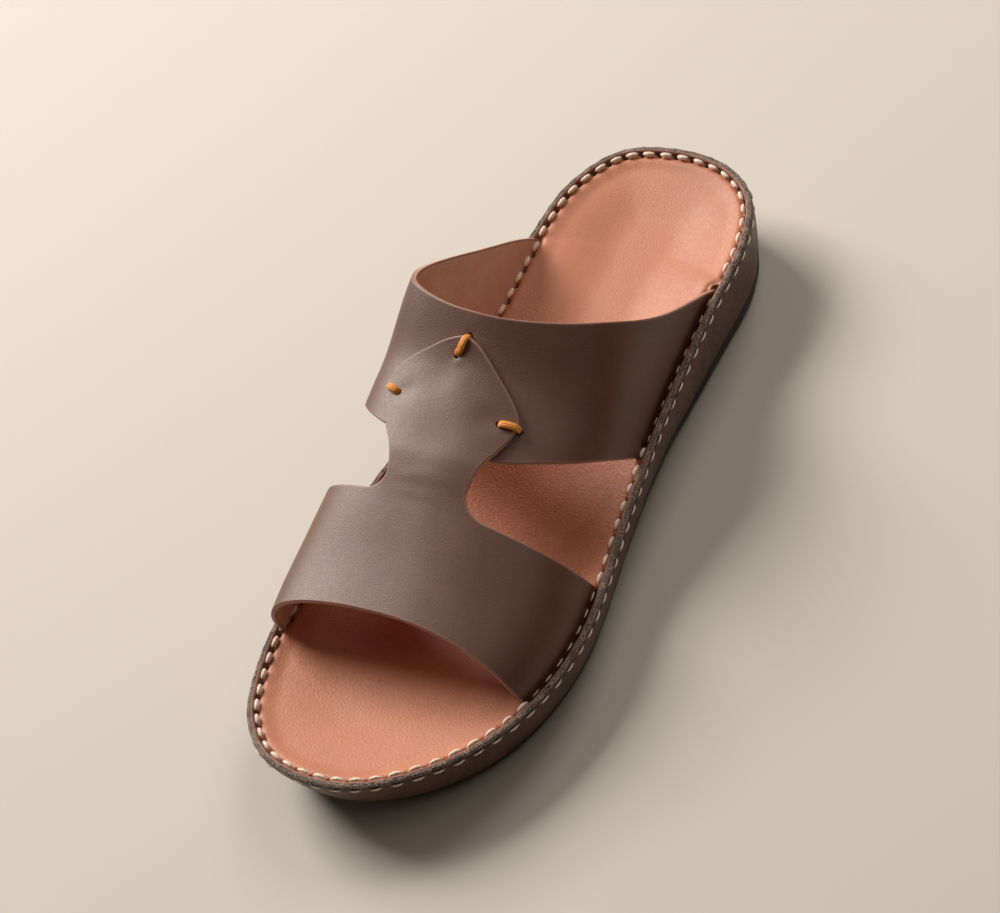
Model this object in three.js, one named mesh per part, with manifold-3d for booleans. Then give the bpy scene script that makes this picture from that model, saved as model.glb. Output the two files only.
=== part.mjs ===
// A left slide sandal: outsole, side band, footbed, one upper of two crossing straps, three cord tacks.
// Millimetres. +Z is up, -Y is the toe, +Y the heel, +X the outer side of a left foot.
// The origin is on the floor, below the middle of the sole's outline.

import * as THREE from "three";
import { mergeVertices } from "three/addons/utils/BufferGeometryUtils.js";
import Module from "manifold-3d";

const wasm = await Module();
wasm.setup();

// Overall sizes
const shoeLength = 290;
const ballWidth = 116;
const toeRimHeight = 27;
const ballRimHeight = 21;
const heelRimHeight = 31;
const toeSpring = 7;
const archLift = 1.8;
const clearance = 0.3;

// Outsole
const outsoleEdgeBall = 4.6;
const outsoleEdgeHeel = 6.6;
const edgeRounding = 1.6;
const roundingShare = 0.3;
const deepestTuck = 8;
const tuckPower = 1.4;

// Side band of leather round the sole, its raw edge standing above the footbed
const bandThickness = 2.8;
const bandEdgeRounding = 0.6;
const bandStand = 2.6;

// Footbed
const footbedThickness = 6.2;
const padBead = 0.9;
const cupDepth = 4.2;
const archSupport = 3.2;

// The footbed's relief. Shares across run from the inner edge (0) to the outer (1).
const beadWidth = 0.12;
const dishStart = 0.03;
const dishEnd = 0.36;
const archAlong = 0.55;
const archHalfLength = 0.13;
const archAcross = 0.2;
const archHalfWidth = 0.16;
const archStart = 0.1;
const endFade = 0.3;

// Straps
const strapThickness = 2;
const strapStandOff = 1.6;
const strapSink = 5;
const instepHeight = 65;
const tongueFuse = 0.4;
const medialBow = 10.5;
const lateralBow = 5.4;
const medialRoundness = 2.69;
const lateralRoundness = 2.1;
const neckCornerMedial = 6.5;
const neckCornerLateral = 8;
const crownRadius = 52;
const wingBlend = 12;

// Slots for the straps' feet in the footbed: their room at each end as a share of the clearance, and
// the angles that they span
const slotRoom = 1.5;
const medialSlotAngles = [-3, 0, 2, 5, 10];
const lateralSlotAngles = [165, 171, 175, 178, 180, 183];

// Cord tacks at the tongue
const tackDiameter = 2.2;
const tackOverhang = 0.9;

// Mesh steps
const outlineSteps = 84;
const strapColumns = 34;
const strapRows = 9;
const wingColumns = 18;
const tongueRows = 20;
const tongueColumns = 8;
const cordSides = 8;
const samplesPerRow = 40;
const padShares = [0, 0.02, 0.06, 0.13, 0.25, 0.4, 0.55, 0.7, 0.82, 0.9, 0.96, 0.985, 1];
const sideCrowding = 0.11;
const tongueCrowding = 0.9;
const normalStep = 0.5;

// The sole's outline from the toe, along the inner side to the heel and back along the outer side.
// along: share of the length from the toe; across: share of the ball width from the centre line.
const outlineTable = [
  { along: 0, across: -0.069 },
  { along: 0.018, across: -0.263 },
  { along: 0.069, across: -0.397 },
  { along: 0.141, across: -0.47 },
  { along: 0.22, across: -0.5 },
  { along: 0.309, across: -0.487 },
  { along: 0.422, across: -0.441 },
  { along: 0.549, across: -0.378 },
  { along: 0.686, across: -0.335 },
  { along: 0.823, across: -0.324 },
  { along: 0.919, across: -0.289 },
  { along: 0.983, across: -0.172 },
  { along: 1, across: 0.009 },
  { along: 0.986, across: 0.212 },
  { along: 0.943, across: 0.345 },
  { along: 0.871, across: 0.406 },
  { along: 0.761, across: 0.409 },
  { along: 0.617, across: 0.416 },
  { along: 0.46, across: 0.448 },
  { along: 0.288, across: 0.5 },
  { along: 0.189, across: 0.466 },
  { along: 0.106, across: 0.371 },
  { along: 0.048, across: 0.241 },
  { along: 0.01, across: 0.086 },
];

// Heights along the sole.
// toe, heel: how far the rim has risen from its ball height to its toe and heel heights.
// spring, arch: shares of the toe spring and the arch lift in the underside.
// tuck: share of the deepest tuck of the side wall. cup: share of the footbed's cup depth.
const soleTable = [
  { along: 0, toe: 1, heel: 0, spring: 1, arch: 0, tuck: 0.88, cup: 0.25 },
  { along: 0.05, toe: 0.7, heel: 0, spring: 0.52, arch: 0, tuck: 0.9, cup: 0.3 },
  { along: 0.11, toe: 0.36, heel: 0, spring: 0.16, arch: 0, tuck: 0.93, cup: 0.4 },
  { along: 0.17, toe: 0.12, heel: 0, spring: 0, arch: 0, tuck: 0.94, cup: 0.5 },
  { along: 0.27, toe: 0, heel: 0, spring: 0, arch: 0, tuck: 0.9, cup: 0.6 },
  { along: 0.4, toe: 0, heel: 0.05, spring: 0, arch: 0, tuck: 0.84, cup: 0.6 },
  { along: 0.47, toe: 0, heel: 0.17, spring: 0, arch: 0.6, tuck: 0.84, cup: 0.62 },
  { along: 0.54, toe: 0, heel: 0.34, spring: 0, arch: 1, tuck: 0.86, cup: 0.68 },
  { along: 0.61, toe: 0, heel: 0.5, spring: 0, arch: 0.6, tuck: 0.86, cup: 0.78 },
  { along: 0.68, toe: 0, heel: 0.66, spring: 0, arch: 0, tuck: 0.75, cup: 0.9 },
  { along: 0.82, toe: 0, heel: 0.92, spring: 0, arch: 0, tuck: 0.58, cup: 1 },
  { along: 1, toe: 0, heel: 1, spring: 0, arch: 0, tuck: 0.7, cup: 0.8 },
];

// The foot shape under the straps.
// crown: share of the instep height; lean: the crown's offset as a share of the ball width;
// bow: share of the side walls' bow.
const crownTable = [
  { along: 0.172, crown: 0.408, lean: -0.024, bow: 0.45 },
  { along: 0.276, crown: 0.507, lean: -0.045, bow: 0.45 },
  { along: 0.379, crown: 0.626, lean: -0.073, bow: 0.5 },
  { along: 0.517, crown: 0.725, lean: -0.114, bow: 0.92 },
  { along: 0.655, crown: 0.977, lean: -0.132, bow: 1 },
  { along: 0.828, crown: 1.005, lean: -0.047, bow: 1 },
];

// Edges of the straps over the foot. angle: degrees from the inner foot (0) over the crown to the
// outer foot (180). The others are shares of the length where the edge crosses that angle.
const edgeTable = [
  { angle: 0, front: 0.205, wingEnd: 0.372, instepFront: 0.51, instepRear: 0.83 },
  { angle: 22, front: 0.195, wingEnd: 0.366, instepFront: 0.497, instepRear: 0.724 },
  { angle: 45, front: 0.201, wingEnd: 0.36, instepFront: 0.473, instepRear: 0.643 },
  { angle: 68, front: 0.206, wingEnd: 0.356, instepFront: 0.442, instepRear: 0.601 },
  { angle: 90, front: 0.207, wingEnd: 0.354, instepFront: 0.42, instepRear: 0.583 },
  { angle: 112, front: 0.201, wingEnd: 0.345, instepFront: 0.42, instepRear: 0.589 },
  { angle: 135, front: 0.188, wingEnd: 0.342, instepFront: 0.453, instepRear: 0.624 },
  { angle: 158, front: 0.179, wingEnd: 0.347, instepFront: 0.499, instepRear: 0.693 },
  { angle: 180, front: 0.18, wingEnd: 0.36, instepFront: 0.548, instepRear: 0.806 },
];

// The neck and tongue of the front strap, from the corners at its rear edge to the pointed tip.
// medial, lateral: the angles of the two side edges; lift: share of its full height over the strap below.
const tongueTable = [
  { along: 0.36, medial: 79, lateral: 106.6, lift: 0 },
  { along: 0.385, medial: 78.8, lateral: 107.6, lift: 0.45 },
  { along: 0.408, medial: 76.8, lateral: 110, lift: 1 },
  { along: 0.432, medial: 73, lateral: 113.7, lift: 1 },
  { along: 0.455, medial: 69.8, lateral: 116.8, lift: 1 },
  { along: 0.475, medial: 66.8, lateral: 117.8, lift: 1 },
  { along: 0.491, medial: 65.8, lateral: 115.2, lift: 1 },
  { along: 0.509, medial: 68, lateral: 110.4, lift: 1 },
  { along: 0.523, medial: 72.4, lateral: 106, lift: 1 },
  { along: 0.537, medial: 79.2, lateral: 101.4, lift: 1 },
  { along: 0.549, medial: 85.4, lateral: 96.4, lift: 1 },
  { along: 0.557, medial: 91, lateral: 91, lift: 1 },
];

// Each tack's inner and outer end on the tongue, as share of the length and angle.
const tackTable = [
  { name: "tack_tip", along: 0.532, angle: 90, outAlong: 0.557, outAngle: 91 },
  { name: "tack_medial", along: 0.478, angle: 73, outAlong: 0.4855, outAngle: 67.5 },
  { name: "tack_lateral", along: 0.465, angle: 111.6, outAlong: 0.468, outAngle: 118.2 },
];

// A smooth curve through one column of a table, with no overshoot between its rows. An easy one turns
// more gently at its highest and lowest rows.
function curve(rows, position, column, easy = false) {
  const x = rows.map((row) => row[position]);
  const y = rows.map((row) => row[column]);
  const slope = x.slice(1).map((end, k) => (y[k + 1] - y[k]) / (end - x[k]));
  const tangent = x.map((_, k) => {
    const before = slope[Math.max(k - 1, 0)];
    const after = slope[Math.min(k, slope.length - 1)];
    if (easy) return (before + after) / 2;
    return before * after <= 0 ? 0 : (2 * before * after) / (before + after);
  });
  return (at) => {
    const clamped = THREE.MathUtils.clamp(at, x[0], x[x.length - 1]);
    const k = Math.max(0, x.findIndex((end, index) => index > 0 && clamped <= end) - 1);
    const width = x[k + 1] - x[k];
    const t = (clamped - x[k]) / width;
    const rise = y[k + 1] - y[k];
    const early = tangent[k] * width;
    const late = tangent[k + 1] * width;
    return y[k] + t * (early + t * (3 * rise - 2 * early - late + t * (early + late - 2 * rise)));
  };
}

const toeRise = curve(soleTable, "along", "toe");
const heelRise = curve(soleTable, "along", "heel");
const springShare = curve(soleTable, "along", "spring");
const archShare = curve(soleTable, "along", "arch");
const tuckShare = curve(soleTable, "along", "tuck");
const cupShare = curve(soleTable, "along", "cup");

const rimHeight = (along) =>
  ballRimHeight + (toeRimHeight - ballRimHeight) * toeRise(along) + (heelRimHeight - ballRimHeight) * heelRise(along);
const undersideHeight = (along) => toeSpring * springShare(along) + archLift * archShare(along);
const outsoleEdge = (along) => outsoleEdgeBall + (outsoleEdgeHeel - outsoleEdgeBall) * heelRise(along);
const ledgeHeight = (along) => undersideHeight(along) + outsoleEdge(along);
const footbedEdgeHeight = (along) => rimHeight(along) - bandStand;
const footbedUnderside = (along) => footbedEdgeHeight(along) - footbedThickness;

// How far the side wall has tucked in under the rim at a height.
function wallInset(along, height) {
  const depth = (rimHeight(along) - height) / (rimHeight(along) - undersideHeight(along));
  return deepestTuck * tuckShare(along) * Math.max(depth, 0) ** tuckPower;
}

// The outline as pairs of points at the same distance from the toe, on the inner and outer side.
function outlineStations() {
  const points = outlineTable.map((row) => new THREE.Vector3(row.across * ballWidth, row.along * shoeLength, 0));
  const spline = new THREE.CatmullRomCurve3(points, true, "centripetal");
  const samples = spline.getPoints(samplesPerRow * points.length);
  const box = new THREE.Box3().setFromPoints(samples);
  const middle = box.getCenter(new THREE.Vector3());
  const size = box.getSize(new THREE.Vector3());
  const placed = samples.slice(0, -1).map((point) => ({
    x: ((point.x - middle.x) * ballWidth) / size.x,
    y: ((point.y - box.min.y) * shoeLength) / size.y,
  }));
  const toe = placed.findIndex((point) => point.y === 0);
  const turned = [...placed.slice(toe), ...placed.slice(0, toe)];
  const heel = turned.findIndex((point) => Math.abs(point.y - shoeLength) < 1e-9);
  const side = (list) => (y) => {
    const next = Math.max(1, list.findIndex((point) => point.y >= y - 1e-9));
    const a = list[next - 1];
    const b = list[next];
    return a.x + ((b.x - a.x) * (y - a.y)) / (b.y - a.y);
  };
  const medial = side(turned.slice(0, heel + 1));
  const lateral = side([...turned.slice(heel), turned[0]].reverse());
  return { medial, lateral };
}
const outlineSide = outlineStations();

// The outline's points and inward normals, from the toe round the inner side.
const outline = [];
for (let step = 0; step < outlineSteps; step++) {
  const half = outlineSteps / 2;
  const turn = step <= half ? step / half : (outlineSteps - step) / half;
  const y = (shoeLength * (1 - Math.cos(Math.PI * turn))) / 2;
  const x = step <= half ? outlineSide.medial(y) : outlineSide.lateral(y);
  outline.push({ x, y, along: y / shoeLength });
}
outline.forEach((point, k) => {
  const before = outline[(k + outlineSteps - 1) % outlineSteps];
  const after = outline[(k + 1) % outlineSteps];
  const length = Math.hypot(after.x - before.x, after.y - before.y);
  point.inX = (after.y - before.y) / length;
  point.inY = -(after.x - before.x) / length;
});

// A closed ring that follows the outline. inset and height are functions of the share along.
function ring(inset, height) {
  return outline.map((point) => {
    const distance = inset(point.along);
    const x = point.x + point.inX * distance;
    const y = point.y + point.inY * distance - shoeLength / 2;
    return new THREE.Vector3(x, y, height(point.along));
  });
}

// Adds the faces of a grid of points, facing the cross product of its columns and rows.
function addSheet(triangles, sheet, flip = false) {
  for (let r = 0; r + 1 < sheet.length; r++) {
    for (let c = 0; c + 1 < sheet[r].length; c++) {
      const [a, b, d, e] = [sheet[r][c], sheet[r][c + 1], sheet[r + 1][c + 1], sheet[r + 1][c]];
      triangles.push(flip ? [a, d, b] : [a, b, d], flip ? [a, e, d] : [a, d, e]);
    }
  }
}

// A closed geometry from triangles whose shared corners are equal.
function closedGeometry(triangles) {
  const positions = triangles.flatMap((triangle) => triangle.flatMap((point) => point.toArray()));
  const geometry = new THREE.BufferGeometry();
  geometry.setAttribute("position", new THREE.Float32BufferAttribute(positions, 3));
  const merged = mergeVertices(geometry, 1e-4);
  const index = Array.from(merged.index.array);
  const kept = [];
  for (let k = 0; k < index.length; k += 3) {
    const [a, b, c] = index.slice(k, k + 3);
    if (a !== b && b !== c && c !== a) kept.push(a, b, c);
  }
  merged.setIndex(kept);
  return merged;
}

// The surface inside a ring: rows run from one side to the other, with heights from a function.
function capSheet(edge, shares, rise) {
  const half = edge.length / 2;
  const sheet = [];
  for (let k = 0; k <= half; k++) {
    const medial = edge[k];
    const lateral = edge[(edge.length - k) % edge.length];
    const along = k < outline.length ? outline[k].along : 1;
    sheet.push(shares.map((share) => {
      const point = medial.clone().lerp(lateral, share);
      point.z += rise(along, share);
      return point;
    }));
  }
  return sheet;
}

// A solid through stacked rings, from the lowest to the highest, closed below and above.
function stackedSolid(rings, shares = [0, 1], rise = () => 0) {
  const triangles = [];
  const wrapped = rings.map((points) => [...points, points[0]]);
  addSheet(triangles, wrapped, true);
  addSheet(triangles, capSheet(rings[rings.length - 1], shares, rise));
  addSheet(triangles, capSheet(rings[0], [0, 1], () => 0), true);
  return closedGeometry(triangles);
}

// Manifold solids, for joining and cutting.
function toSolid(geometry) {
  const vertProperties = new Float32Array(geometry.attributes.position.array);
  const triVerts = new Uint32Array(geometry.index.array);
  return new wasm.Manifold(new wasm.Mesh({ numProp: 3, vertProperties, triVerts }));
}

function toGeometry(solid) {
  const mesh = solid.getMesh();
  const geometry = new THREE.BufferGeometry();
  geometry.setAttribute("position", new THREE.Float32BufferAttribute(mesh.vertProperties, 3));
  geometry.setIndex(Array.from(mesh.triVerts));
  return geometry;
}

// Outsole: a rounded tread edge with a ledge for the band, and a core that carries the footbed.
function outsoleGeometry() {
  const foot = (along) => wallInset(along, undersideHeight(along));
  const side = (along) => wallInset(along, undersideHeight(along) + edgeRounding);
  const top = (along) => wallInset(along, ledgeHeight(along));
  const cornerRise = edgeRounding * roundingShare;
  const behindBand = bandThickness + 2 * clearance;
  const core = (along) => top(along) + behindBand;
  const coreTop = (along) => footbedUnderside(along) - clearance;
  return stackedSolid([
    ring((along) => foot(along) + edgeRounding, undersideHeight),
    ring((along) => side(along) + cornerRise, (along) => undersideHeight(along) + cornerRise),
    ring(side, (along) => undersideHeight(along) + edgeRounding),
    ring(top, ledgeHeight),
    ring(core, ledgeHeight),
    ring((along) => wallInset(along, coreTop(along)) + behindBand, coreTop),
  ]);
}

// Side band: a strip of leather round the sole, its top edge raw and lightly rounded.
function bandGeometry() {
  const bottom = (along) => ledgeHeight(along) + clearance;
  const shoulder = (along) => rimHeight(along) - bandEdgeRounding;
  const heights = [bottom, footbedUnderside, footbedEdgeHeight, shoulder];
  const outer = (height) => ring((along) => wallInset(along, height(along)), height);
  const inner = (height) => ring((along) => wallInset(along, height(along)) + bandThickness, height);
  const loop = [
    ...heights.map(outer),
    ring(() => bandEdgeRounding, rimHeight),
    ring(() => bandThickness - bandEdgeRounding, rimHeight),
    ...heights.map(inner).reverse(),
  ];
  const triangles = [];
  addSheet(triangles, [...loop, loop[0]].map((points) => [...points, points[0]]), true);
  return closedGeometry(triangles);
}

// Footbed: a padded insole with a soft bead at its edge, a cupped heel and a low arch support.
function footbedGeometry() {
  const edge = (height) => (along) => wallInset(along, height(along)) + bandThickness + clearance;
  const rise = (along, share) => {
    const fromEdge = Math.min(share, 1 - share);
    if (fromEdge === 0 || along === 0 || along === 1) return 0;
    const bead = padBead * Math.sin(Math.PI * Math.min(fromEdge / beadWidth, 1));
    const dish = -cupDepth * cupShare(along) * THREE.MathUtils.smoothstep(fromEdge, dishStart, dishEnd);
    const fromArch = ((along - archAlong) / archHalfLength) ** 2 + ((share - archAcross) / archHalfWidth) ** 2;
    const arch = archSupport * THREE.MathUtils.smoothstep(fromEdge, 0, archStart) * Math.exp(-fromArch);
    return Math.sin(Math.PI * along) ** endFade * (bead + dish + arch);
  };
  const rings = [
    ring(edge(footbedUnderside), footbedUnderside),
    ring(edge(footbedEdgeHeight), footbedEdgeHeight),
  ];
  return stackedSolid(rings, padShares, rise);
}

// The foot's surface under and round the straps.
const crownShare = curve(crownTable, "along", "crown");
const leanShare = curve(crownTable, "along", "lean");
const bowShare = curve(crownTable, "along", "bow");
const strapInset = bandThickness + strapStandOff;

function lastPoint(along, angle) {
  const y = along * shoeLength;
  const medial = outlineSide.medial(y) + strapInset;
  const lateral = outlineSide.lateral(y) - strapInset;
  const phi = THREE.MathUtils.degToRad(THREE.MathUtils.clamp(angle, 0, 180));
  const inner = Math.cos(phi) > 0;
  const power = 2 / (inner ? medialRoundness : lateralRoundness);
  const bow = (inner ? medialBow : lateralBow) * bowShare(along) * Math.sin(2 * phi) ** 2;
  const reach = ((lateral - medial) / 2) * Math.abs(Math.cos(phi)) ** power + bow;
  const lean = leanShare(along) * ballWidth * Math.sin(phi) ** 2;
  const x = (medial + lateral) / 2 + (inner ? -reach : reach) + lean;
  const height = instepHeight * crownShare(along) * Math.abs(Math.sin(phi)) ** power;
  return new THREE.Vector3(x, y - shoeLength / 2, rimHeight(along) - strapSink + height);
}

function lastNormal(along, place) {
  const angle = THREE.MathUtils.clamp(place, 0, 180);
  const share = normalStep / shoeLength;
  const around = lastPoint(along, angle + normalStep).sub(lastPoint(along, angle - normalStep));
  const onward = lastPoint(along + share, angle).sub(lastPoint(along - share, angle));
  return around.cross(onward).normalize();
}

// A point over the foot's surface. Angles beyond 0 and 180 go straight down into the sole, one degree
// for the whole depth of the strap's foot.
const strapFootDepth = (along) => rimHeight(along) - strapSink - footbedUnderside(along);

function strapPoint(along, angle, lift) {
  const top = rimHeight(along) - strapSink;
  const drop = Math.max(-angle, angle - 180, 0) * strapFootDepth(along);
  const inward = wallInset(along, top - drop) - wallInset(along, top);
  const point = lastPoint(along, angle).addScaledVector(lastNormal(along, angle), lift - inward);
  point.z -= drop;
  return point;
}

// A sheet of leather over the foot, from a grid of places, with walls at all its edges.
function leather(sheets, thickness) {
  const places = new Map();
  const number = (place) => {
    const key = `${place.along.toFixed(7)} ${place.angle.toFixed(5)}`;
    if (!places.has(key)) places.set(key, { ...place, index: places.size });
    return places.get(key).index;
  };
  const faces = [];
  for (const sheet of sheets) {
    const found = [];
    addSheet(found, sheet);
    for (const face of found) {
      const [a, b, c] = face.map(number);
      if (a !== b && b !== c && c !== a) faces.push([a, b, c]);
    }
  }
  const list = [...places.values()];
  const outer = list.map((place) => strapPoint(place.along, place.angle, place.lift));
  const inner = list.map((place) => strapPoint(place.along, place.angle, place.lift - thickness));
  const edges = new Set(faces.flatMap(([a, b, c]) => [`${a} ${b}`, `${b} ${c}`, `${c} ${a}`]));
  const triangles = [];
  for (const [a, b, c] of faces) {
    triangles.push([outer[a], outer[b], outer[c]], [inner[a], inner[c], inner[b]]);
    for (const [from, to] of [[a, b], [b, c], [c, a]]) {
      if (edges.has(`${to} ${from}`)) continue;
      triangles.push([outer[to], outer[from], inner[from]], [outer[to], inner[from], inner[to]]);
    }
  }
  return closedGeometry(triangles);
}

const frontEdge = curve(edgeTable, "angle", "front", true);
const wingEnd = curve(edgeTable, "angle", "wingEnd", true);
const instepFront = curve(edgeTable, "angle", "instepFront", true);
const instepRear = curve(edgeTable, "angle", "instepRear", true);
const neck = tongueTable[0];
const tip = tongueTable[tongueTable.length - 1];
const tongueMedial = curve(tongueTable, "along", "medial");
const tongueLateral = curve(tongueTable, "along", "lateral");
const tongueLift = curve(tongueTable, "along", "lift");
const tongueHeight = strapThickness - tongueFuse;

// Even shares from 0 to 1, and angles that lie closer together at both ends, where a side is steep or
// an edge turns.
const evenShares = (count) => Array.from({ length: count + 1 }, (_, k) => k / count);
const anglesBetween = (from, to, count) =>
  evenShares(count).map((share) => from + (to - from) * (share - sideCrowding * Math.sin(2 * Math.PI * share)));

// The rear edge of the front strap's wings, rounded into the neck.
function wingRear(angle, corner, radius) {
  const width = THREE.MathUtils.radToDeg(radius / crownRadius);
  const near = THREE.MathUtils.clamp(1 - Math.abs(angle - corner) / width, 0, 1);
  return wingEnd(angle) + (radius / shoeLength) * (1 - Math.sqrt(1 - near * near));
}

// A grid of places from one edge of a strap to the other.
function stripSheet(angles, start, end, lift) {
  return evenShares(strapRows).map((share) => angles.map((angle) => {
    const over = THREE.MathUtils.clamp(angle, 0, 180);
    const along = THREE.MathUtils.lerp(start(over), end(over), share);
    return { along, angle, lift: lift(along, over) };
  }));
}

// How high the front strap is over the foot: the neck rises onto the instep strap, and the wings beside
// it follow over a few degrees.
function frontLift(along, angle) {
  const fromNeck = Math.max(neck.medial - angle, angle - neck.lateral, 0);
  return tongueHeight * tongueLift(along) * THREE.MathUtils.clamp(1 - fromNeck / wingBlend, 0, 1);
}

function frontStrapSheets() {
  const medialCorner = (angle) => wingRear(angle, neck.medial, neckCornerMedial);
  const lateralCorner = (angle) => wingRear(angle, neck.lateral, neckCornerLateral);
  const medialAngles = [-1, ...anglesBetween(0, neck.medial, wingColumns)];
  const lateralAngles = [...anglesBetween(neck.lateral, 180, wingColumns), 181];
  const medialWing = stripSheet(medialAngles, frontEdge, medialCorner, frontLift);
  const lateralWing = stripSheet(lateralAngles, frontEdge, lateralCorner, frontLift);
  const centre = medialWing.map((row, r) => placesBetween(row[row.length - 1], lateralWing[r][0]));
  const [left, right] = [centre[strapRows][0], centre[strapRows][tongueColumns]];
  for (const share of evenShares(tongueRows).slice(1)) {
    const onward = Math.sin((Math.PI / 2) * share ** tongueCrowding);
    centre.push(placesBetween(
      tonguePlace(THREE.MathUtils.lerp(left.along, tip.along, onward), tongueMedial),
      tonguePlace(THREE.MathUtils.lerp(right.along, tip.along, onward), tongueLateral),
    ));
  }
  return [medialWing, centre, lateralWing];
}

function tonguePlace(along, side) {
  return { along, angle: side(along), lift: tongueHeight * tongueLift(along) };
}

function placesBetween(left, right) {
  return evenShares(tongueColumns).map((share) => ({
    along: THREE.MathUtils.lerp(left.along, right.along, share),
    angle: THREE.MathUtils.lerp(left.angle, right.angle, share),
    lift: THREE.MathUtils.lerp(left.lift, right.lift, share),
  }));
}

function instepSheet() {
  const angles = [-1, ...anglesBetween(0, 180, strapColumns), 181];
  return stripSheet(angles, instepFront, instepRear, () => 0);
}

// Upper: the two straps in one piece, joined where the tongue lies on the instep strap.
function upperGeometry() {
  const front = toSolid(leather(frontStrapSheets(), strapThickness));
  const instep = toSolid(leather([instepSheet()], strapThickness));
  return toGeometry(front.add(instep));
}

// Slots in the footbed's edge, where the straps' feet pass down between footbed and band.
function slotCutter(start, end, angles) {
  const room = (slotRoom * clearance) / shoeLength;
  const outward = strapInset;
  const sheet = stripSheet(angles, (angle) => start(angle) - room, (angle) => end(angle) + room, () => outward);
  return toSolid(leather([sheet], outward + strapThickness + clearance));
}

function slottedFootbed() {
  let solid = toSolid(footbedGeometry());
  for (const angles of [medialSlotAngles, lateralSlotAngles]) {
    solid = solid.subtract(slotCutter(frontEdge, wingEnd, angles));
    solid = solid.subtract(slotCutter(instepFront, instepRear, angles));
  }
  return toGeometry(solid);
}

// Tack: a short thick cord from a hole in the tongue out over the tongue's edge, where it dips.
function tackGeometry(tack) {
  const radius = tackDiameter / 2;
  const height = tongueHeight + clearance + radius;
  const inner = new THREE.Vector2(tack.along, tack.angle);
  const outer = new THREE.Vector2(tack.outAlong, tack.outAngle);
  const span = strapPoint(inner.x, inner.y, height).distanceTo(strapPoint(outer.x, outer.y, height));
  const path = [0, 0.25, 0.5, 0.75, 1, 1 + tackOverhang / span].map((share) => {
    const place = inner.clone().lerp(outer, share);
    const dip = share > 1 ? clearance : 0;
    return { point: strapPoint(place.x, place.y, height - dip), normal: lastNormal(place.x, place.y) };
  });
  const rings = path.map(({ point, normal }, k) => {
    const before = path[Math.max(k - 1, 0)].point;
    const after = path[Math.min(k + 1, path.length - 1)].point;
    const direction = after.clone().sub(before).normalize();
    const side = direction.clone().cross(normal).normalize();
    const up = side.clone().cross(direction);
    const corners = [];
    for (let s = 0; s < cordSides; s++) {
      const turn = (2 * Math.PI * s) / cordSides;
      const corner = point.clone().addScaledVector(side, radius * Math.cos(turn));
      corners.push(corner.addScaledVector(up, radius * Math.sin(turn)));
    }
    return corners;
  });
  return stackedSolid(rings);
}

const leatherBrown = { color: 0x6e5548, roughness: 0.55, metalness: 0 };
const looks = {
  outsole: { color: 0x2c2522, roughness: 0.8, metalness: 0 },
  side_band: { color: 0x5a3e30, roughness: 0.6, metalness: 0 },
  footbed: { color: 0xbe785a, roughness: 0.6, metalness: 0 },
  upper: leatherBrown,
  tack: { color: 0xeb9632, roughness: 0.6, metalness: 0 },
};

function addMesh(group, name, geometry, look) {
  geometry.computeVertexNormals();
  const mesh = new THREE.Mesh(geometry, new THREE.MeshStandardMaterial(look));
  mesh.name = name;
  group.add(mesh);
}

const sandal = new THREE.Group();
addMesh(sandal, "outsole", outsoleGeometry(), looks.outsole);
addMesh(sandal, "side_band", bandGeometry(), looks.side_band);
addMesh(sandal, "footbed", slottedFootbed(), looks.footbed);
addMesh(sandal, "upper", upperGeometry(), looks.upper);
for (const tack of tackTable) {
  addMesh(sandal, tack.name, tackGeometry(tack), looks.tack);
}

export default sandal;
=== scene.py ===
import math

import bpy
import numpy as np
from mathutils import Matrix, Vector
from mathutils.geometry import delaunay_2d_cdt


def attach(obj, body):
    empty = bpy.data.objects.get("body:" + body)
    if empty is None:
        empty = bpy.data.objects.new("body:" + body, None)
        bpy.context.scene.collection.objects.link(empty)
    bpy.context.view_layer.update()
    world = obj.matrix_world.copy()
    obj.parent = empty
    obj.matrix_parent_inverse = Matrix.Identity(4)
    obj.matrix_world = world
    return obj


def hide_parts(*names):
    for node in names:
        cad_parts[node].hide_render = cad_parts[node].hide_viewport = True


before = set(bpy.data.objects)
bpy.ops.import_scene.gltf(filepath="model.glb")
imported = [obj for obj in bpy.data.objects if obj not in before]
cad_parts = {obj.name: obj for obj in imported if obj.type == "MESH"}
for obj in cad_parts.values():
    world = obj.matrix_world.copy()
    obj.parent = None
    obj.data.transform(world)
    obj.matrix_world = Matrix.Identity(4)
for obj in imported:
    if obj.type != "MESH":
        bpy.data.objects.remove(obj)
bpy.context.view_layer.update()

# Studio. A plain pale floor under soft lamps: a broad warm one from above the inner side of the heel,
# and weak ones that open the shadows. The camera looks down on the toe from the outer side.


def paint(red, green, blue):
    """A paint of 0 to 255 as the renderer's linear colour."""
    shares = [value / 255 for value in (red, green, blue)]
    return tuple(s / 12.92 if s <= 0.04045 else ((s + 0.055) / 1.055) ** 2.4 for s in shares) + (1.0,)


def node(owner, kind, settings=None, inputs=None):
    """A node in the tree of its owner, a tree, node or socket, with its settings, and its inputs by name
    or number, each a value or another node's output."""
    tree = owner.id_data
    made = tree.nodes.new(kind)
    for key, value in (settings or {}).items():
        setattr(made, key, value)
    for key, value in (inputs or {}).items():
        if isinstance(value, bpy.types.NodeSocket):
            tree.links.new(value, made.inputs[key])
        else:
            made.inputs[key].default_value = value
    return made


def finish_of(name, roughness, coat=0.0, coat_roughness=0.4, sheen=0.0, specular=0.5):
    """A new material with the plain numbers of its surface, and its shader."""
    material = bpy.data.materials.new(name)
    material.use_nodes = True
    shader = material.node_tree.nodes["Principled BSDF"]
    shader.inputs["Roughness"].default_value = roughness
    shader.inputs["Coat Weight"].default_value = coat
    shader.inputs["Coat Roughness"].default_value = coat_roughness
    shader.inputs["Sheen Weight"].default_value = sheen
    shader.inputs["Specular IOR Level"].default_value = specular
    return material, shader


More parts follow.
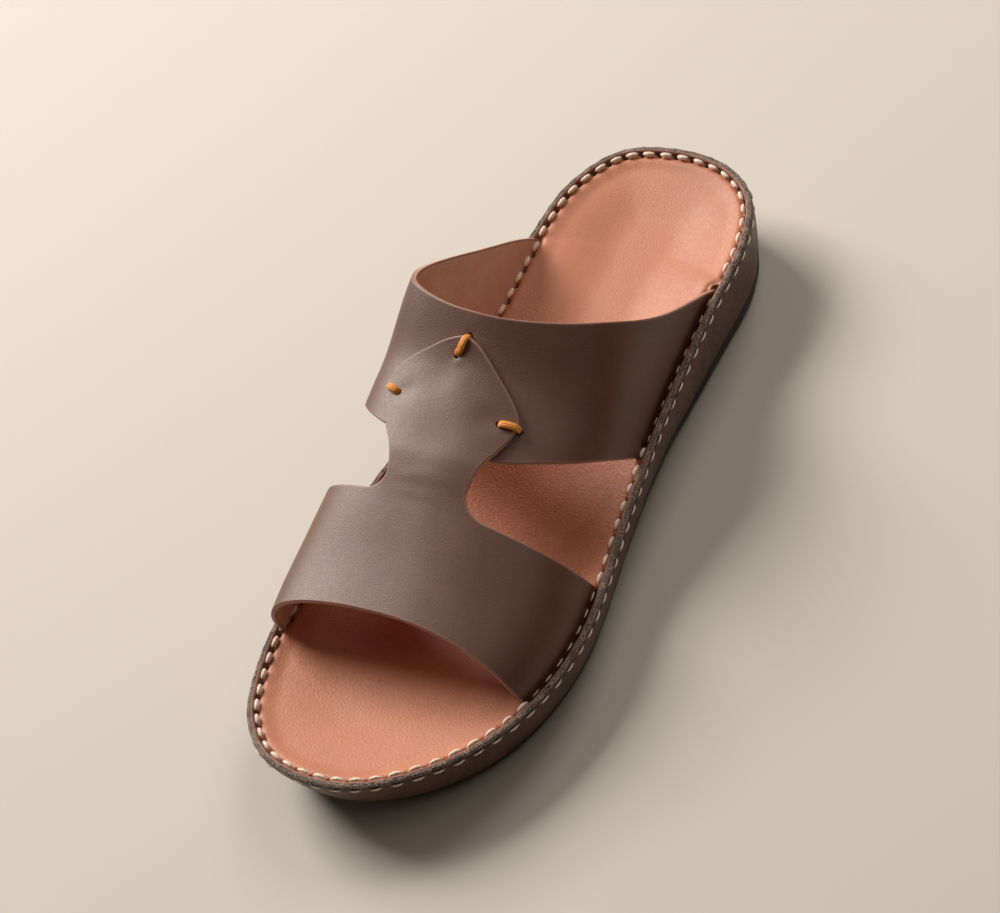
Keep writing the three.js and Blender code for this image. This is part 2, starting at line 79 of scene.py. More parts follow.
floor_reach = 4.0
floor_top = -0.0003
floor_mesh = bpy.data.meshes.new("floor")
corner_sides = [(-1, -1), (1, -1), (1, 1), (-1, 1)]
floor_corners = [(x * floor_reach, y * floor_reach, floor_top) for x, y in corner_sides]
floor_mesh.from_pydata(floor_corners, [], [(0, 1, 2, 3)])
floor = bpy.data.objects.new("floor", floor_mesh)
bpy.context.scene.collection.objects.link(floor)
floor_paint, floor_shader = finish_of("floor_paint", 0.85, specular=0.2)
floor_shader.inputs["Base Color"].default_value = paint(212, 205, 196)
floor_mesh.materials.append(floor_paint)

camera_azimuth = math.radians(45.55)
camera_elevation = math.radians(47.39)
camera_roll = math.radians(-25.47)
camera_distance = 1.3468
camera_aim = Vector((-0.0001, 0, 0.025))
camera_shift_right = -0.004388
camera_shift_up = 0.000627
away = Vector((
    math.sin(camera_azimuth) * math.cos(camera_elevation),
    -math.cos(camera_azimuth) * math.cos(camera_elevation),
    math.sin(camera_elevation),
))
level = Vector((math.cos(camera_azimuth), math.sin(camera_azimuth), 0))
upward = away.cross(level)
camera_right = math.cos(camera_roll) * level + math.sin(camera_roll) * upward
camera_up = math.cos(camera_roll) * upward - math.sin(camera_roll) * level
camera_place = (camera_aim + camera_shift_right * camera_right + camera_shift_up * camera_up
                + camera_distance * away)
camera_data = bpy.data.cameras.new("camera")
camera_data.lens = 136.8
camera_data.sensor_width = 36
camera = bpy.data.objects.new("camera", camera_data)
bpy.context.scene.collection.objects.link(camera)
turn = Matrix((camera_right, camera_up, away)).transposed()
camera.matrix_world = Matrix.Translation(camera_place) @ turn.to_4x4()
bpy.context.scene.camera = camera


def soft_lamp(name, toward, distance, size, power, colour):
    """A square lamp that looks at the middle of the shoe from a direction."""
    middle = Vector((0, 0, 0.03))
    data = bpy.data.lights.new(name, "AREA")
    data.size = size
    data.energy = power
    data.color = colour
    lamp = bpy.data.objects.new(name, data)
    direction = Vector(toward).normalized()
    lamp.location = middle + direction * distance
    lamp.rotation_mode = "QUATERNION"
    lamp.rotation_quaternion = (-direction).to_track_quat("-Z", "Y")
    bpy.context.scene.collection.objects.link(lamp)


soft_lamp("key_lamp", (-0.78, 0.3, 0.63), 2.2, 1.2, 66, (1, 0.955, 0.9))
soft_lamp("back_lamp", (0.05, 0.85, 0.8), 2.4, 1.1, 15, (1, 0.95, 0.89))
soft_lamp("fill_lamp", (0.45, 0.14, 1), 2.4, 1.8, 6, (1, 0.91, 0.82))
world = bpy.data.worlds.new("studio")
world.use_nodes = True
world.node_tree.nodes["Background"].inputs["Color"].default_value = (1, 0.85, 0.7, 1)
world.node_tree.nodes["Background"].inputs["Strength"].default_value = 0.06
bpy.context.scene.world = world
bpy.context.scene.view_settings.view_transform = "Standard"

# Outsole. One moulded unit of dark rubber, its edge rounded where it meets the floor, its toe a little
# sprung and its waist lifted. A ledge round it carries the side band.
shoe_length = 290
ball_width = 116
toe_rim = 27
ball_rim = 21
heel_rim = 31
toe_spring = 7
arch_lift = 1.8
edge_at_ball = 4.6
edge_at_heel = 6.6
edge_rounding = 1.6
deepest_tuck = 8
tuck_bend = 1.4
band_thickness = 2.8
pad_depth = 2.6
pad_thickness = 6.2
clearance = 0.3

# along, across, round the sole from the toe by way of the inner side
outline_rows = [
    (0, -0.069), (0.018, -0.263), (0.069, -0.397), (0.141, -0.47), (0.22, -0.5), (0.309, -0.487),
    (0.422, -0.441), (0.549, -0.378), (0.686, -0.335), (0.823, -0.324), (0.919, -0.289), (0.983, -0.172),
    (1, 0.009), (0.986, 0.212), (0.943, 0.345), (0.871, 0.406), (0.761, 0.409), (0.617, 0.416),
    (0.46, 0.448), (0.288, 0.5), (0.189, 0.466), (0.106, 0.371), (0.048, 0.241), (0.01, 0.086),
]
# along, toe rise, heel rise, toe spring, arch, tuck, heel cup
sole_rows = [
    (0, 1, 0, 1, 0, 0.88, 0.25), (0.05, 0.7, 0, 0.52, 0, 0.9, 0.3), (0.11, 0.36, 0, 0.16, 0, 0.93, 0.4),
    (0.17, 0.12, 0, 0, 0, 0.94, 0.5), (0.27, 0, 0, 0, 0, 0.9, 0.6), (0.4, 0, 0.05, 0, 0, 0.84, 0.6),
    (0.47, 0, 0.17, 0, 0.6, 0.84, 0.62), (0.54, 0, 0.34, 0, 1, 0.86, 0.68),
    (0.61, 0, 0.5, 0, 0.6, 0.86, 0.78), (0.68, 0, 0.66, 0, 0, 0.75, 0.9),
    (0.82, 0, 0.92, 0, 0, 0.58, 1), (1, 0, 1, 0, 0, 0.7, 0.8),
]


def fair_curve(rows, column, easy=False):
    """A smooth curve through one column of a table's rows, with no overshoot between them. An easy one
    turns more gently at its highest and lowest rows."""
    x = np.array([row[0] for row in rows], float)
    y = np.array([row[column] for row in rows], float)
    slope = np.diff(y) / np.diff(x)
    before = np.append(slope[0], slope)
    after = np.append(slope, slope[-1])
    same_way = before * after > 0
    tangent = np.where(same_way, 2 * before * after / np.where(same_way, before + after, 1), 0)
    if easy:
        tangent = (before + after) / 2

    def value(at):
        at = np.clip(at, x[0], x[-1])
        k = np.clip(np.searchsorted(x, at) - 1, 0, len(x) - 2)
        width = x[k + 1] - x[k]
        t = (at - x[k]) / width
        rise = y[k + 1] - y[k]
        early = tangent[k] * width
        late = tangent[k + 1] * width
        return y[k] + t * (early + t * (3 * rise - 2 * early - late + t * (early + late - 2 * rise)))

    return value


toe_rise, heel_rise, spring_share, arch_share, tuck_share, cup_share = [
    fair_curve(sole_rows, column) for column in range(1, 7)
]


def rim_height(along):
    return ball_rim + (toe_rim - ball_rim) * toe_rise(along) + (heel_rim - ball_rim) * heel_rise(along)


def underside_height(along):
    return toe_spring * spring_share(along) + arch_lift * arch_share(along)


def ledge_height(along):
    return underside_height(along) + edge_at_ball + (edge_at_heel - edge_at_ball) * heel_rise(along)


def wall_inset(along, height):
    """How far the side wall has tucked in under the rim at a height."""
    depth = (rim_height(along) - height) / (rim_height(along) - underside_height(along))
    return deepest_tuck * tuck_share(along) * np.maximum(depth, 0) ** tuck_bend


def outline_samples():
    """The sole's outline as a fine closed line from the toe by way of the inner side."""
    per_span = 200
    corners = np.array([(across * ball_width, along * shoe_length) for along, across in outline_rows])
    samples = []
    for k in range(len(corners)):
        a, b, c, d = [corners[(k + step) % len(corners)] for step in (-1, 0, 1, 2)]
        lengths = [math.sqrt(np.linalg.norm(end - start)) for start, end in ((a, b), (b, c), (c, d))]
        first = (b - a) / lengths[0] - (c - a) / (lengths[0] + lengths[1]) + (c - b) / lengths[1]
        last = (c - b) / lengths[1] - (d - b) / (lengths[1] + lengths[2]) + (d - c) / lengths[2]
        first, last = first * lengths[1], last * lengths[1]
        t = np.linspace(0, 1, per_span, endpoint=False)[:, None]
        bend = 3 * (c - b) - 2 * first - last
        samples.append(b + t * (first + t * (bend + t * (first + last - 2 * (c - b)))))
    line = np.concatenate(samples)
    low, high = line.min(0), line.max(0)
    line = (line - [(low[0] + high[0]) / 2, low[1]]) * [ball_width, shoe_length] / (high - low)
    return np.roll(line, -int(line[:, 1].argmin()), axis=0)


outline_line = outline_samples()
outline_heel = int(outline_line[:, 1].argmax())
inner_side = outline_line[: outline_heel + 1]
outer_side = np.vstack([outline_line[outline_heel:], outline_line[:1]])[::-1]


class Outline:
    """Even steps round the outline: place x and y, inward normal, and the share along from the toe."""

    def __init__(self, steps):
        closed = np.vstack([outline_line, outline_line[:1]])
        run = np.append(0, np.cumsum(np.linalg.norm(np.diff(closed, axis=0), axis=1)))
        self.share = np.arange(steps) / steps
        self.length = run[-1]
        at = self.share * run[-1]
        self.x = np.interp(at, run, closed[:, 0])
        self.y = np.interp(at, run, closed[:, 1])
        ahead = np.array([np.interp((at + 1) % run[-1], run, closed[:, k]) for k in (0, 1)])
        behind = np.array([np.interp((at - 1) % run[-1], run, closed[:, k]) for k in (0, 1)])
        tangent = (ahead - behind) / np.linalg.norm(ahead - behind, axis=0)
        self.run = tangent.T
        self.inward = np.stack([tangent[1], -tangent[0]], axis=1)
        self.along = self.y / shoe_length

    def ring(self, inset, height):
        """Points of a ring at an inset and a height, both numbers or one value a step."""
        inset = np.broadcast_to(inset, self.x.shape)[:, None]
        place = np.stack([self.x, self.y - shoe_length / 2], axis=1) + self.inward * inset
        return np.column_stack([place, np.broadcast_to(height, self.x.shape)])


def new_piece(name, points, faces, materials, face_material=None, values=None):
    """A piece from points in millimetres, with smooth shading and named values at its points."""
    mesh = bpy.data.meshes.new(name)
    mesh.from_pydata((np.asarray(points) / 1000).tolist(), [], [tuple(face) for face in faces])
    for material in materials:
        mesh.materials.append(material)
    if face_material is not None:
        mesh.polygons.foreach_set("material_index", np.asarray(face_material, np.int32))
    for key, value in (values or {}).items():
        mesh.attributes.new(key, "FLOAT", "POINT").data.foreach_set("value", np.asarray(value, np.float32))
    mesh.shade_smooth()
    mesh.set_sharp_from_angle(angle=math.radians(55))
    mesh.update()
    piece = bpy.data.objects.new(name, mesh)
    bpy.context.scene.collection.objects.link(piece)
    return piece


def wrapped_faces(rows, columns, closed_rows=False):
    """Faces between rings of points, each ring closed; the last ring joins the first if closed_rows."""
    r, c = np.meshgrid(np.arange(rows if closed_rows else rows - 1), np.arange(columns), indexing="ij")
    below, above = r * columns, ((r + 1) % rows) * columns
    beside = (c + 1) % columns
    return np.stack([below + c, above + c, above + beside, below + beside], axis=-1).reshape(-1, 4)


def cap_faces(first, columns, downward):
    """Faces that close a ring of points, from side to side, two at the toe and the heel."""
    half = columns // 2
    faces = [(first, first + 1, first + columns - 1)]
    for k in range(1, half - 1):
        faces.append((first + k, first + k + 1, first + columns - k - 1, first + columns - k))
    faces.append((first + half - 1, first + half, first + half + 1))
    return [face if downward else face[::-1] for face in faces]


def look_of(name, roughness, **surface):
    """A new material, its shader, and the place on the piece in metres."""
    material, shader = finish_of(name, roughness, **surface)
    return material, shader, node(shader, "ShaderNodeTexCoord").outputs["Object"]


def kept_value(place, name):
    """A value that the piece keeps at its points."""
    return node(place, "ShaderNodeAttribute", {"attribute_name": name}).outputs["Fac"]


def cloud(place, size, detail=3.0, roughness=0.55):
    """Soft noise whose patches have a size in millimetres."""
    inputs = {"Vector": place, "Scale": 1000 / size, "Detail": detail, "Roughness": roughness}
    return node(place, "ShaderNodeTexNoise", inputs=inputs).outputs["Fac"]


def stretched(value, low, high, to_low=0.0, to_high=1.0):
    """A value from low to high taken to another range, and clamped to it."""
    inputs = {"Value": value, "From Min": low, "From Max": high, "To Min": to_low, "To Max": to_high}
    return node(value, "ShaderNodeMapRange", inputs=inputs).outputs["Result"]


def blend(share, first, second):
    """Two colours mixed by a share."""
    return node(share, "ShaderNodeMix", {"data_type": "RGBA"}, {0: share, 6: first, 7: second}).outputs[2]


def patchy(place, size, first, second):
    """Two colours in soft patches of a size in millimetres."""
    return blend(stretched(cloud(place, size), 0.3, 0.7), first, second)


def darkened(colour, name, dark):
    """A colour that turns dark where the piece keeps a value: painted shade in holes, pits and hollows."""
    return blend(kept_value(colour, name), colour, dark)


def sums(operation, first, *others):
    """One step of arithmetic, its first value another node's output."""
    values = dict(enumerate((first, *others)))
    return node(first, "ShaderNodeMath", {"operation": operation}, values).outputs[0]


def relief(height, depth, strength=1.0, normal=None):
    """Bumps with a depth in millimetres, laid over another relief."""
    inputs = {"Height": height, "Distance": depth / 1000, "Strength": strength}
    if normal is not None:
        inputs["Normal"] = normal
    return node(height, "ShaderNodeBump", inputs=inputs).outputs["Normal"]


def dress(shader, colour, normal, roughness=None):
    """Gives the shader its colour, its relief and, where asked, an uneven gloss."""
    for key, value in (("Base Color", colour), ("Normal", normal), ("Roughness", roughness)):
        if value is not None:
            shader.id_data.links.new(value, shader.inputs[key])


def wandering(place, size, low, high):
    """A roughness between two values, in patches of a size in millimetres."""
    return stretched(cloud(place, size), 0.3, 0.7, low, high)


rubber, shader, place = look_of("outsole_rubber", 0.62, specular=0.4)
tone = stretched(cloud(place, 18), 0.35, 0.7)
colour = blend(tone, paint(38, 31, 28), paint(58, 48, 43))
dress(shader, colour, relief(cloud(place, 0.5), 0.06), wandering(place, 6, 0.52, 0.74))

tread, shader, place = look_of("tread_rubber", 0.75, specular=0.3)
colour = blend(cloud(place, 9), paint(32, 27, 25), paint(52, 44, 40))
ribs = node(place, "ShaderNodeTexWave", {"bands_direction": "Y", "wave_profile": "SIN"},
            {"Vector": place, "Scale": 95.0, "Distortion": 5.0, "Detail": 0.0, "Detail Scale": 0.35})
dress(shader, colour, relief(stretched(ribs.outputs["Fac"], 0.35, 0.6), 0.5))

tread_insets = (14, 6, 2.5)
ledge_corner = 0.4
sole_steps = Outline(560)
sole_along = sole_steps.along
sole_under = underside_height(sole_along)
sole_ledge = ledge_height(sole_along)
core_top = rim_height(sole_along) - pad_depth - pad_thickness - clearance
behind_band = band_thickness + 2 * clearance
sole_rings = []


def sole_ring(depth, height):
    """Adds a ring of the sole at a depth behind its wall."""
    sole_rings.append(sole_steps.ring(wall_inset(sole_along, height) + depth, height))


for depth in tread_insets:
    sole_ring(depth, sole_under)
for share in np.linspace(0, 1, 7):
    height = sole_under + edge_rounding * (1 - math.cos(share * math.pi / 2))
    sole_ring(edge_rounding * (1 - math.sin(share * math.pi / 2)), height)
for share in (0.35, 0.7, 0.92):
    sole_ring(0, sole_under + edge_rounding + (sole_ledge - sole_under - edge_rounding) * share)
for depth in (ledge_corner, behind_band):
    sole_ring(depth, sole_ledge)
sole_ring(behind_band, core_top)
count = len(sole_along)
wall = wrapped_faces(len(sole_rings), count)
sole_faces = [tuple(face[::-1]) for face in wall.tolist()]
sole_faces += cap_faces(0, count, False) + cap_faces((len(sole_rings) - 1) * count, count, True)
tread_faces = (len(tread_insets) + 1) * count
sole_look = [1 if k < tread_faces else 0 for k in range(len(wall))]
sole_look += [1] * (count // 2) + [0] * (count // 2)
outsole = new_piece("outsole_unit", np.concatenate(sole_rings), sole_faces, [rubber, tread], sole_look)
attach(outsole, "root")
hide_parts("outsole")

# Side band. A strip of vegetable tanned leather wrapped round the sole and sewn through with thick
# thread. Its top edge is left raw and stands proud of the footbed, fibrous and grey-brown.
stitch_count = 94
outer_row_drop = 2.1
inner_row_drop = 0.8
band_corner = 0.6
lip_share = 0.64
hole_reach = 0.8
hole_width = 0.75
outer_hole_depth = 0.5
inner_hole_depth = 0.4
pinch_reach = 1.2
groove_width = 0.6
groove_depth = 0.2
pocket_rise = 0.85
pocket_width = 0.42
pocket_depth = 0.42
raw_waves = 0.12
fibre_reach = 0.06
scallop_depth = 0.16

band_leather, shader, place = look_of("band_leather", 0.5, coat=0.12, coat_roughness=0.35)
tone = stretched(cloud(place, 14, 4), 0.3, 0.72)
colour = blend(tone, paint(72, 44, 32), paint(100, 64, 48))
# Painted shade: the band goes dark in its thread holes and in the pockets beside the stitches.
colour = darkened(colour, "painted_shade", paint(24, 14, 10))
grain = relief(cloud(place, 0.55, 2), 0.05)
dress(shader, colour, relief(cloud(place, 7), 0.25, 0.6, grain), wandering(place, 2.2, 0.42, 0.6))

raw_edge, shader, place = look_of("raw_edge", 0.9, sheen=0.25, specular=0.2)
fibres = cloud(place, 0.45, 3, 0.85)
tone = stretched(fibres, 0.45, 0.57)
patches = stretched(cloud(place, 4), 0.35, 0.65)
dark = blend(patches, paint(44, 32, 28), paint(70, 53, 46))
light = blend(patches, paint(150, 128, 116), paint(198, 176, 162))
dress(shader, blend(tone, dark, light), relief(fibres, 0.35))

band_lining, shader, place = look_of("band_lining", 0.62, sheen=0.1)
colour = patchy(place, 5, paint(128, 84, 66), paint(160, 110, 88))
# Painted shade in the thread holes on the lining side of the band.
colour = darkened(colour, "painted_shade", paint(30, 16, 11))
dress(shader, colour, relief(cloud(place, 0.6), 0.08))

band_steps = Outline(stitch_count * 18)
band_along = band_steps.along
band_rim = rim_height(band_along)
pitch = band_steps.length / stitch_count
wave = np.cos(2 * math.pi * band_steps.share * stitch_count)


def hole_distance(share):
    """Millimetres along the rim from the nearest hole of the thread."""
    return (0.5 - np.abs((share * stitch_count + 0.5) % 1 - 0.5)) * pitch


def hole_at(across):
    """A pit at each place where the thread goes through, next to a line across the seam."""
    return np.exp(-(from_hole / hole_reach) ** 2 - (across / hole_width) ** 2)


def between_holes(distance):
    """0 at a hole of the thread and 1 at some distance from it, under the stitch."""
    return 1 - np.exp(-(distance / pinch_reach) ** 2)


from_hole = hole_distance(band_steps.share)
under_stitch = between_holes(from_hole)
random = np.random.default_rng(11)
fuzz = [np.convolve(np.tile(random.normal(0, 1, len(band_along)), 3), [0.12, 0.76, 0.12], "same")
        [len(band_along) : 2 * len(band_along)] for _ in range(16)]
band_rings, band_painted_shade = [], []
band_bottom = ledge_height(band_along) + clearance


def band_ring(inset, height, painted_shade=0):
    """Adds a ring of the band, and how much painted shade darkens it at a thread hole or in the pocket
    beside a stitch.
    """
    band_rings.append(band_steps.ring(inset, height))
    band_painted_shade.append(np.broadcast_to(painted_shade, band_along.shape))


for share in np.linspace(1, 0.34, 6):
    height = band_rim - (band_rim - band_bottom) * share
    band_ring(wall_inset(band_along, height), height)
for drop in (5.0, 4.3, 3.8, 3.4, 3.05, 2.75, 2.5, 2.25, 2.0, 1.75, 1.5, 1.25, 1.0, 0.75):
    height = band_rim - drop
    hole = hole_at(drop - outer_row_drop)
    groove = math.exp(-((drop - outer_row_drop) / groove_width) ** 2) * under_stitch
    pocket = math.exp(-((drop - outer_row_drop + pocket_rise) / pocket_width) ** 2) * under_stitch
    pulled = outer_hole_depth * hole + groove_depth * groove + pocket_depth * pocket
    # The last value is painted shade in the thread holes and in the pockets beside the stitches.
    band_ring(wall_inset(band_along, height) + pulled, height, np.maximum(hole, 0.8 * pocket))
first_raw_ring = len(band_rings) - 1
scallop = scallop_depth * (1 + wave)
for number, share in enumerate(np.linspace(0, 1, 11)):
    inset = band_corner * 0.2 + (band_thickness - band_corner * 0.4) * share
    drop = band_corner * abs(2 * share - 1) ** 4
    if share < lip_share:
        inset = inset + scallop * (1 - share) + fibre_reach * fuzz[number]
        drop = drop + raw_waves * fuzz[-1 - number]
    elif share < 1:
        lip = math.sin(math.pi * (share - lip_share) / (1 - lip_share))
        drop = drop - raw_waves * lip * (1 + 0.5 * wave)
    band_ring(inset, band_rim - drop)
    if share < lip_share:
        last_raw_ring = len(band_rings)
for drop in (0.75, 1.05, 1.4, 1.8, 2.3, 3.0, 4.2):
    height = band_rim - drop
    hole = hole_at(drop - inner_row_drop)
    band_ring(wall_inset(band_along, height) + band_thickness - inner_hole_depth * hole, height, hole)
lowest_drop = drop
for share in (0.5, 1):
    height = band_rim - lowest_drop - (band_rim - lowest_drop - band_bottom) * share
    band_ring(wall_inset(band_along, height) + band_thickness, height)
count = len(band_along)
band_faces = wrapped_faces(len(band_rings), count, closed_rows=True)[:, ::-1]
band_look = []
for row in range(len(band_rings)):
    part = 0 if row < first_raw_ring else 1 if row < last_raw_ring else 2
    band_look += [part] * count
side_band = new_piece("band_of_leather", np.concatenate(band_rings), band_faces.tolist(),
                      [band_leather, raw_edge, band_lining], band_look,
                      {"painted_shade": np.concatenate(band_painted_shade)})
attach(side_band, "root")
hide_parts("side_band")

# Footbed. A padded insole covered in soft tan leather with a milled, slightly wrinkled grain. Its edge
# swells into a low bead that the thread holds against the band, and the heel is cupped.
bead_height = 1.05
bead_width = 2.6
cup_depth = 4.2
cup_slope = (2.5, 31)
arch_support = 3.2
arch_slope = (0, 9)
strap_thickness = 2.0
strap_stand_off = 1.6
strap_inset = band_thickness + strap_stand_off
foot_thickness = 1.4
medial_hug = 1.45
band_gap = 0.05
foot_gap = 0.1
notch_width = 0.95
notch_length = 1.3
notch_depth = 1.3
crown_height = 0.55
crown_slope = (1.4, 0.2)
pulled_width = 0.8
pulled_depth = 0.25
# The straps' feet between footbed and band: side, share along at the front and the rear
strap_feet = [(-1, 0.205, 0.372), (-1, 0.51, 0.83), (1, 0.18, 0.36), (1, 0.548, 0.806)]


def smooth_step(value, low, high):
    t = np.clip((value - low) / (high - low), 0, 1)
    return t * t * (3 - 2 * t)


def at_strap_foot(steps):
    """1 where a strap's foot passes down beside the footbed, 0 elsewhere, soft at its ends."""
    share = np.zeros(len(steps.x))
    side = np.where(steps.inward[:, 0] > 0, -1, 1)
    for foot_side, front, rear in strap_feet:
        inside = np.minimum(steps.along - front, rear - steps.along) * shoe_length
        share = np.maximum(share, np.where(side == foot_side, smooth_step(inside, 0.3, 1.9), 0))
    return share


def pad_inset(steps):
    """The inset of the footbed's cut edge: at the band, or on the inner face of a strap's foot."""
    at_band = band_thickness + band_gap
    beside = strap_inset + foot_thickness + foot_gap - np.where(steps.inward[:, 0] > 0, medial_hug, 0)
    return at_band + (beside - band_thickness - band_gap) * at_strap_foot(steps)


def distance_to_loop(points, loop):
    """The distance of each point from a closed line, and the number of the nearest stretch of it."""
    start, span = loop, np.roll(loop, -1, axis=0) - loop
    square = (span ** 2).sum(1)
    nearest, number = np.empty(len(points)), np.empty(len(points), int)
    batch = 2000
    for first in range(0, len(points), batch):
        chosen = points[first : first + batch, None, :] - start[None]
        t = np.clip((chosen * span).sum(2) / square, 0, 1)
        gap = np.linalg.norm(chosen - t[..., None] * span, axis=2)
        number[first : first + batch] = gap.argmin(1)
        nearest[first : first + batch] = gap.min(1)
    return nearest, number


def inside_loop(points, loop):
    """Which points lie inside a closed line."""
    inside = np.zeros(len(points), bool)
    for a, b in zip(loop, np.roll(loop, -1, axis=0)):
        if a[1] != b[1]:
            crosses = (a[1] > points[:, 1]) != (b[1] > points[:, 1])
            at = a[0] + (points[:, 1] - a[1]) * (b[0] - a[0]) / (b[1] - a[1])
            inside ^= crosses & (points[:, 0] < at)
    return inside


def cut_blank(loop, rings, spacing, extra=()):
    """A flat blank cut to a closed line: its points, triangles and each point's distance from the cut.
    Rows of points follow the cut at the given distances, and an even grid fills the rest."""
    area = 0.5 * (loop[:, 0] * np.roll(loop[:, 1], -1) - np.roll(loop[:, 0], -1) * loop[:, 1]).sum()
    loop = loop if area > 0 else loop[::-1]
    ahead, behind = np.roll(loop, -1, axis=0), np.roll(loop, 1, axis=0)
    tangent = (ahead - behind) / np.linalg.norm(ahead - behind, axis=1)[:, None]
    inward = np.stack([-tangent[:, 1], tangent[:, 0]], axis=1)
    groups = [loop]
    for distance in rings:
        ring = loop + inward * distance
        kept = distance_to_loop(ring, loop)[0] > 0.93 * distance
        groups.append(ring[kept & inside_loop(ring, loop)])
    low, high = loop.min(0), loop.max(0)
    rows = np.arange(low[1], high[1], spacing * math.sqrt(0.75))
    grid = np.array([(x + (k % 2) * spacing / 2, y) for k, y in enumerate(rows)
                     for x in np.arange(low[0], high[0], spacing)])
    grid = grid[inside_loop(grid, loop)]
    grid = grid[distance_to_loop(grid, loop)[0] > rings[-1] + 0.6 * spacing]
    for points in extra:
        reach = np.linalg.norm(points - points.mean(0), axis=1).max() + 0.45 * spacing
        grid = grid[np.linalg.norm(grid - points.mean(0), axis=1) > reach]
        near_cut = distance_to_loop(points, loop)[0] > 0.15
        points = points[near_cut & inside_loop(points, loop)]
        groups = [groups[0]] + [g[np.linalg.norm(g[:, None] - points[None], axis=2).min(1) > 0.2]
                                for g in groups[1:]] + [points]
    points = np.concatenate(groups + [grid])
    edges = [(k, (k + 1) % len(loop)) for k in range(len(loop))]
    made = delaunay_2d_cdt([Vector(p) for p in points], edges, [], 1, 1e-6)
    places = np.array([(v.x, v.y) for v in made[0]])
    border = np.full(len(loop), -1)
    for index, sources in enumerate(made[3]):
        if sources and sources[0] < len(loop):
            border[sources[0]] = index
    border = border[border >= 0]
    triangles = np.array([face for face in made[2] if len(face) == 3])
    a, b, c = (places[triangles[:, k]] for k in range(3))
    turned = (b[:, 0] - a[:, 0]) * (c[:, 1] - a[:, 1]) - (b[:, 1] - a[:, 1]) * (c[:, 0] - a[:, 0]) < 0
    triangles[turned] = triangles[turned][:, ::-1]
    return places, triangles, distance_to_loop(places, loop)[0], border


def two_faced(name, top, bottom, triangles, border, materials, values):
    """A closed piece from a face, its back and a wall round the cut, with a material for each."""
    size = len(top)
    faces = triangles.tolist() + (triangles[:, ::-1] + size).tolist()
    for here, after in zip(border, np.roll(border, -1)):
        faces.append((after, here, here + size, after + size))
    look = [0] * len(triangles) + [2] * len(triangles) + [1] * len(border)
    both = {key: np.concatenate(pair) for key, pair in values.items()}
    return new_piece(name, np.concatenate([top, bottom]), faces, materials, look, both)


def warped(place, size, reach, stretch):
    """Places pushed about by soft noise of a size and a reach in millimetres, then stretched."""
    noise = node(place, "ShaderNodeTexNoise", inputs={"Vector": place, "Scale": 1000 / size, "Detail": 2.0})
    pushed = node(place, "ShaderNodeVectorMath", {"operation": "MULTIPLY_ADD"},
                  {0: noise.outputs["Color"], 1: [reach / 1000] * 3, 2: place}).outputs[0]
    return node(place, "ShaderNodeMapping", inputs={"Vector": pushed, "Scale": stretch}).outputs[0]


pad_steps = Outline(stitch_count * 14)
pad_loop = pad_steps.ring(pad_inset(pad_steps), 0)[:, :2]
pad_rows_in = [0.3, 0.65, 1.05, 1.5, 2.1, 3, 4.2]
pad_grid = 1.6
blank, blank_triangles, from_cut, blank_border = cut_blank(pad_loop, pad_rows_in, pad_grid)
pad_along = (blank[:, 1] + shoe_length / 2) / shoe_length
pad_left = np.interp(pad_along * shoe_length, inner_side[:, 1], inner_side[:, 0])
pad_right = np.interp(pad_along * shoe_length, outer_side[:, 1], outer_side[:, 0])
across = (blank[:, 0] - pad_left) / np.maximum(pad_right - pad_left, 1)
nearest = distance_to_loop(blank, pad_loop)[1]
beside_hole = hole_distance(pad_steps.share[nearest])


def mound(at_along, reach_along, at_across, reach_across):
    """A soft mound on the footbed, its place and its reach as shares of the length and the width."""
    from_along = (pad_along - at_along) / reach_along
    return np.exp(-from_along ** 2 - ((across - at_across) / reach_across) ** 2)


bead = bead_height * np.exp(-((from_cut - bead_width) / bead_width) ** 2)
dish = cup_depth * cup_share(pad_along) * smooth_step(from_cut, *cup_slope)
arch = arch_support * mound(0.55, 0.13, 0.2, 0.16) * smooth_step(from_cut, *arch_slope)
notch = np.exp(-(beside_hole / notch_width) ** 2 - (from_cut / notch_length) ** 4)
pad_top = rim_height(pad_along) - pad_depth + bead - dish + arch
pad_top += crown_height * smooth_step(from_cut, *crown_slope) - notch_depth * notch
pulled = pulled_depth * np.exp(-((from_cut - pulled_width) / pulled_width) ** 2)
pad_top -= pulled * between_holes(beside_hole)
at_corner = at_strap_foot(pad_steps)[nearest]
# Painted shade in the corners where a strap's foot meets the footbed's edge.
painted_corner_shade = 4 * at_corner * (1 - at_corner) * np.exp(-(from_cut / 1.2) ** 2)
pad_grain = 0.2 + 0.8 * smooth_step(pad_along, 0.78, 0.5) - 0.6 * smooth_step(pad_along, 0.34, 0.2)
pad_wrinkles = 0.12 * smooth_step(pad_along, 0.7, 0.5) + 0.9 * mound(0.165, 0.045, 0.14, 0.13)

pad_leather, shader, place = look_of("footbed_leather", 0.52, coat=0.06, coat_roughness=0.45, sheen=0.08)
long_cells = warped(place, 2.4, 0.6, (0.75, 1.0, 1.0))
pebbles = node(place, "ShaderNodeTexVoronoi", {"feature": "SMOOTH_F1"},
               {"Vector": long_cells, "Scale": 1200.0, "Smoothness": 0.3}).outputs["Distance"]
pebbles = stretched(pebbles, 0.62, 0.1)
wrinkles = node(place, "ShaderNodeTexNoise", {"noise_type": "RIDGED_MULTIFRACTAL", "normalize": True},
                {"Vector": long_cells, "Scale": 300.0, "Detail": 4.0, "Roughness": 0.6}).outputs["Fac"]
mottle = stretched(cloud(place, 34, 4), 0.3, 0.7)
coarse = kept_value(place, "coarse")
wrinkled = kept_value(place, "wrinkled")
colour = blend(mottle, paint(186, 115, 81), paint(202, 128, 92))
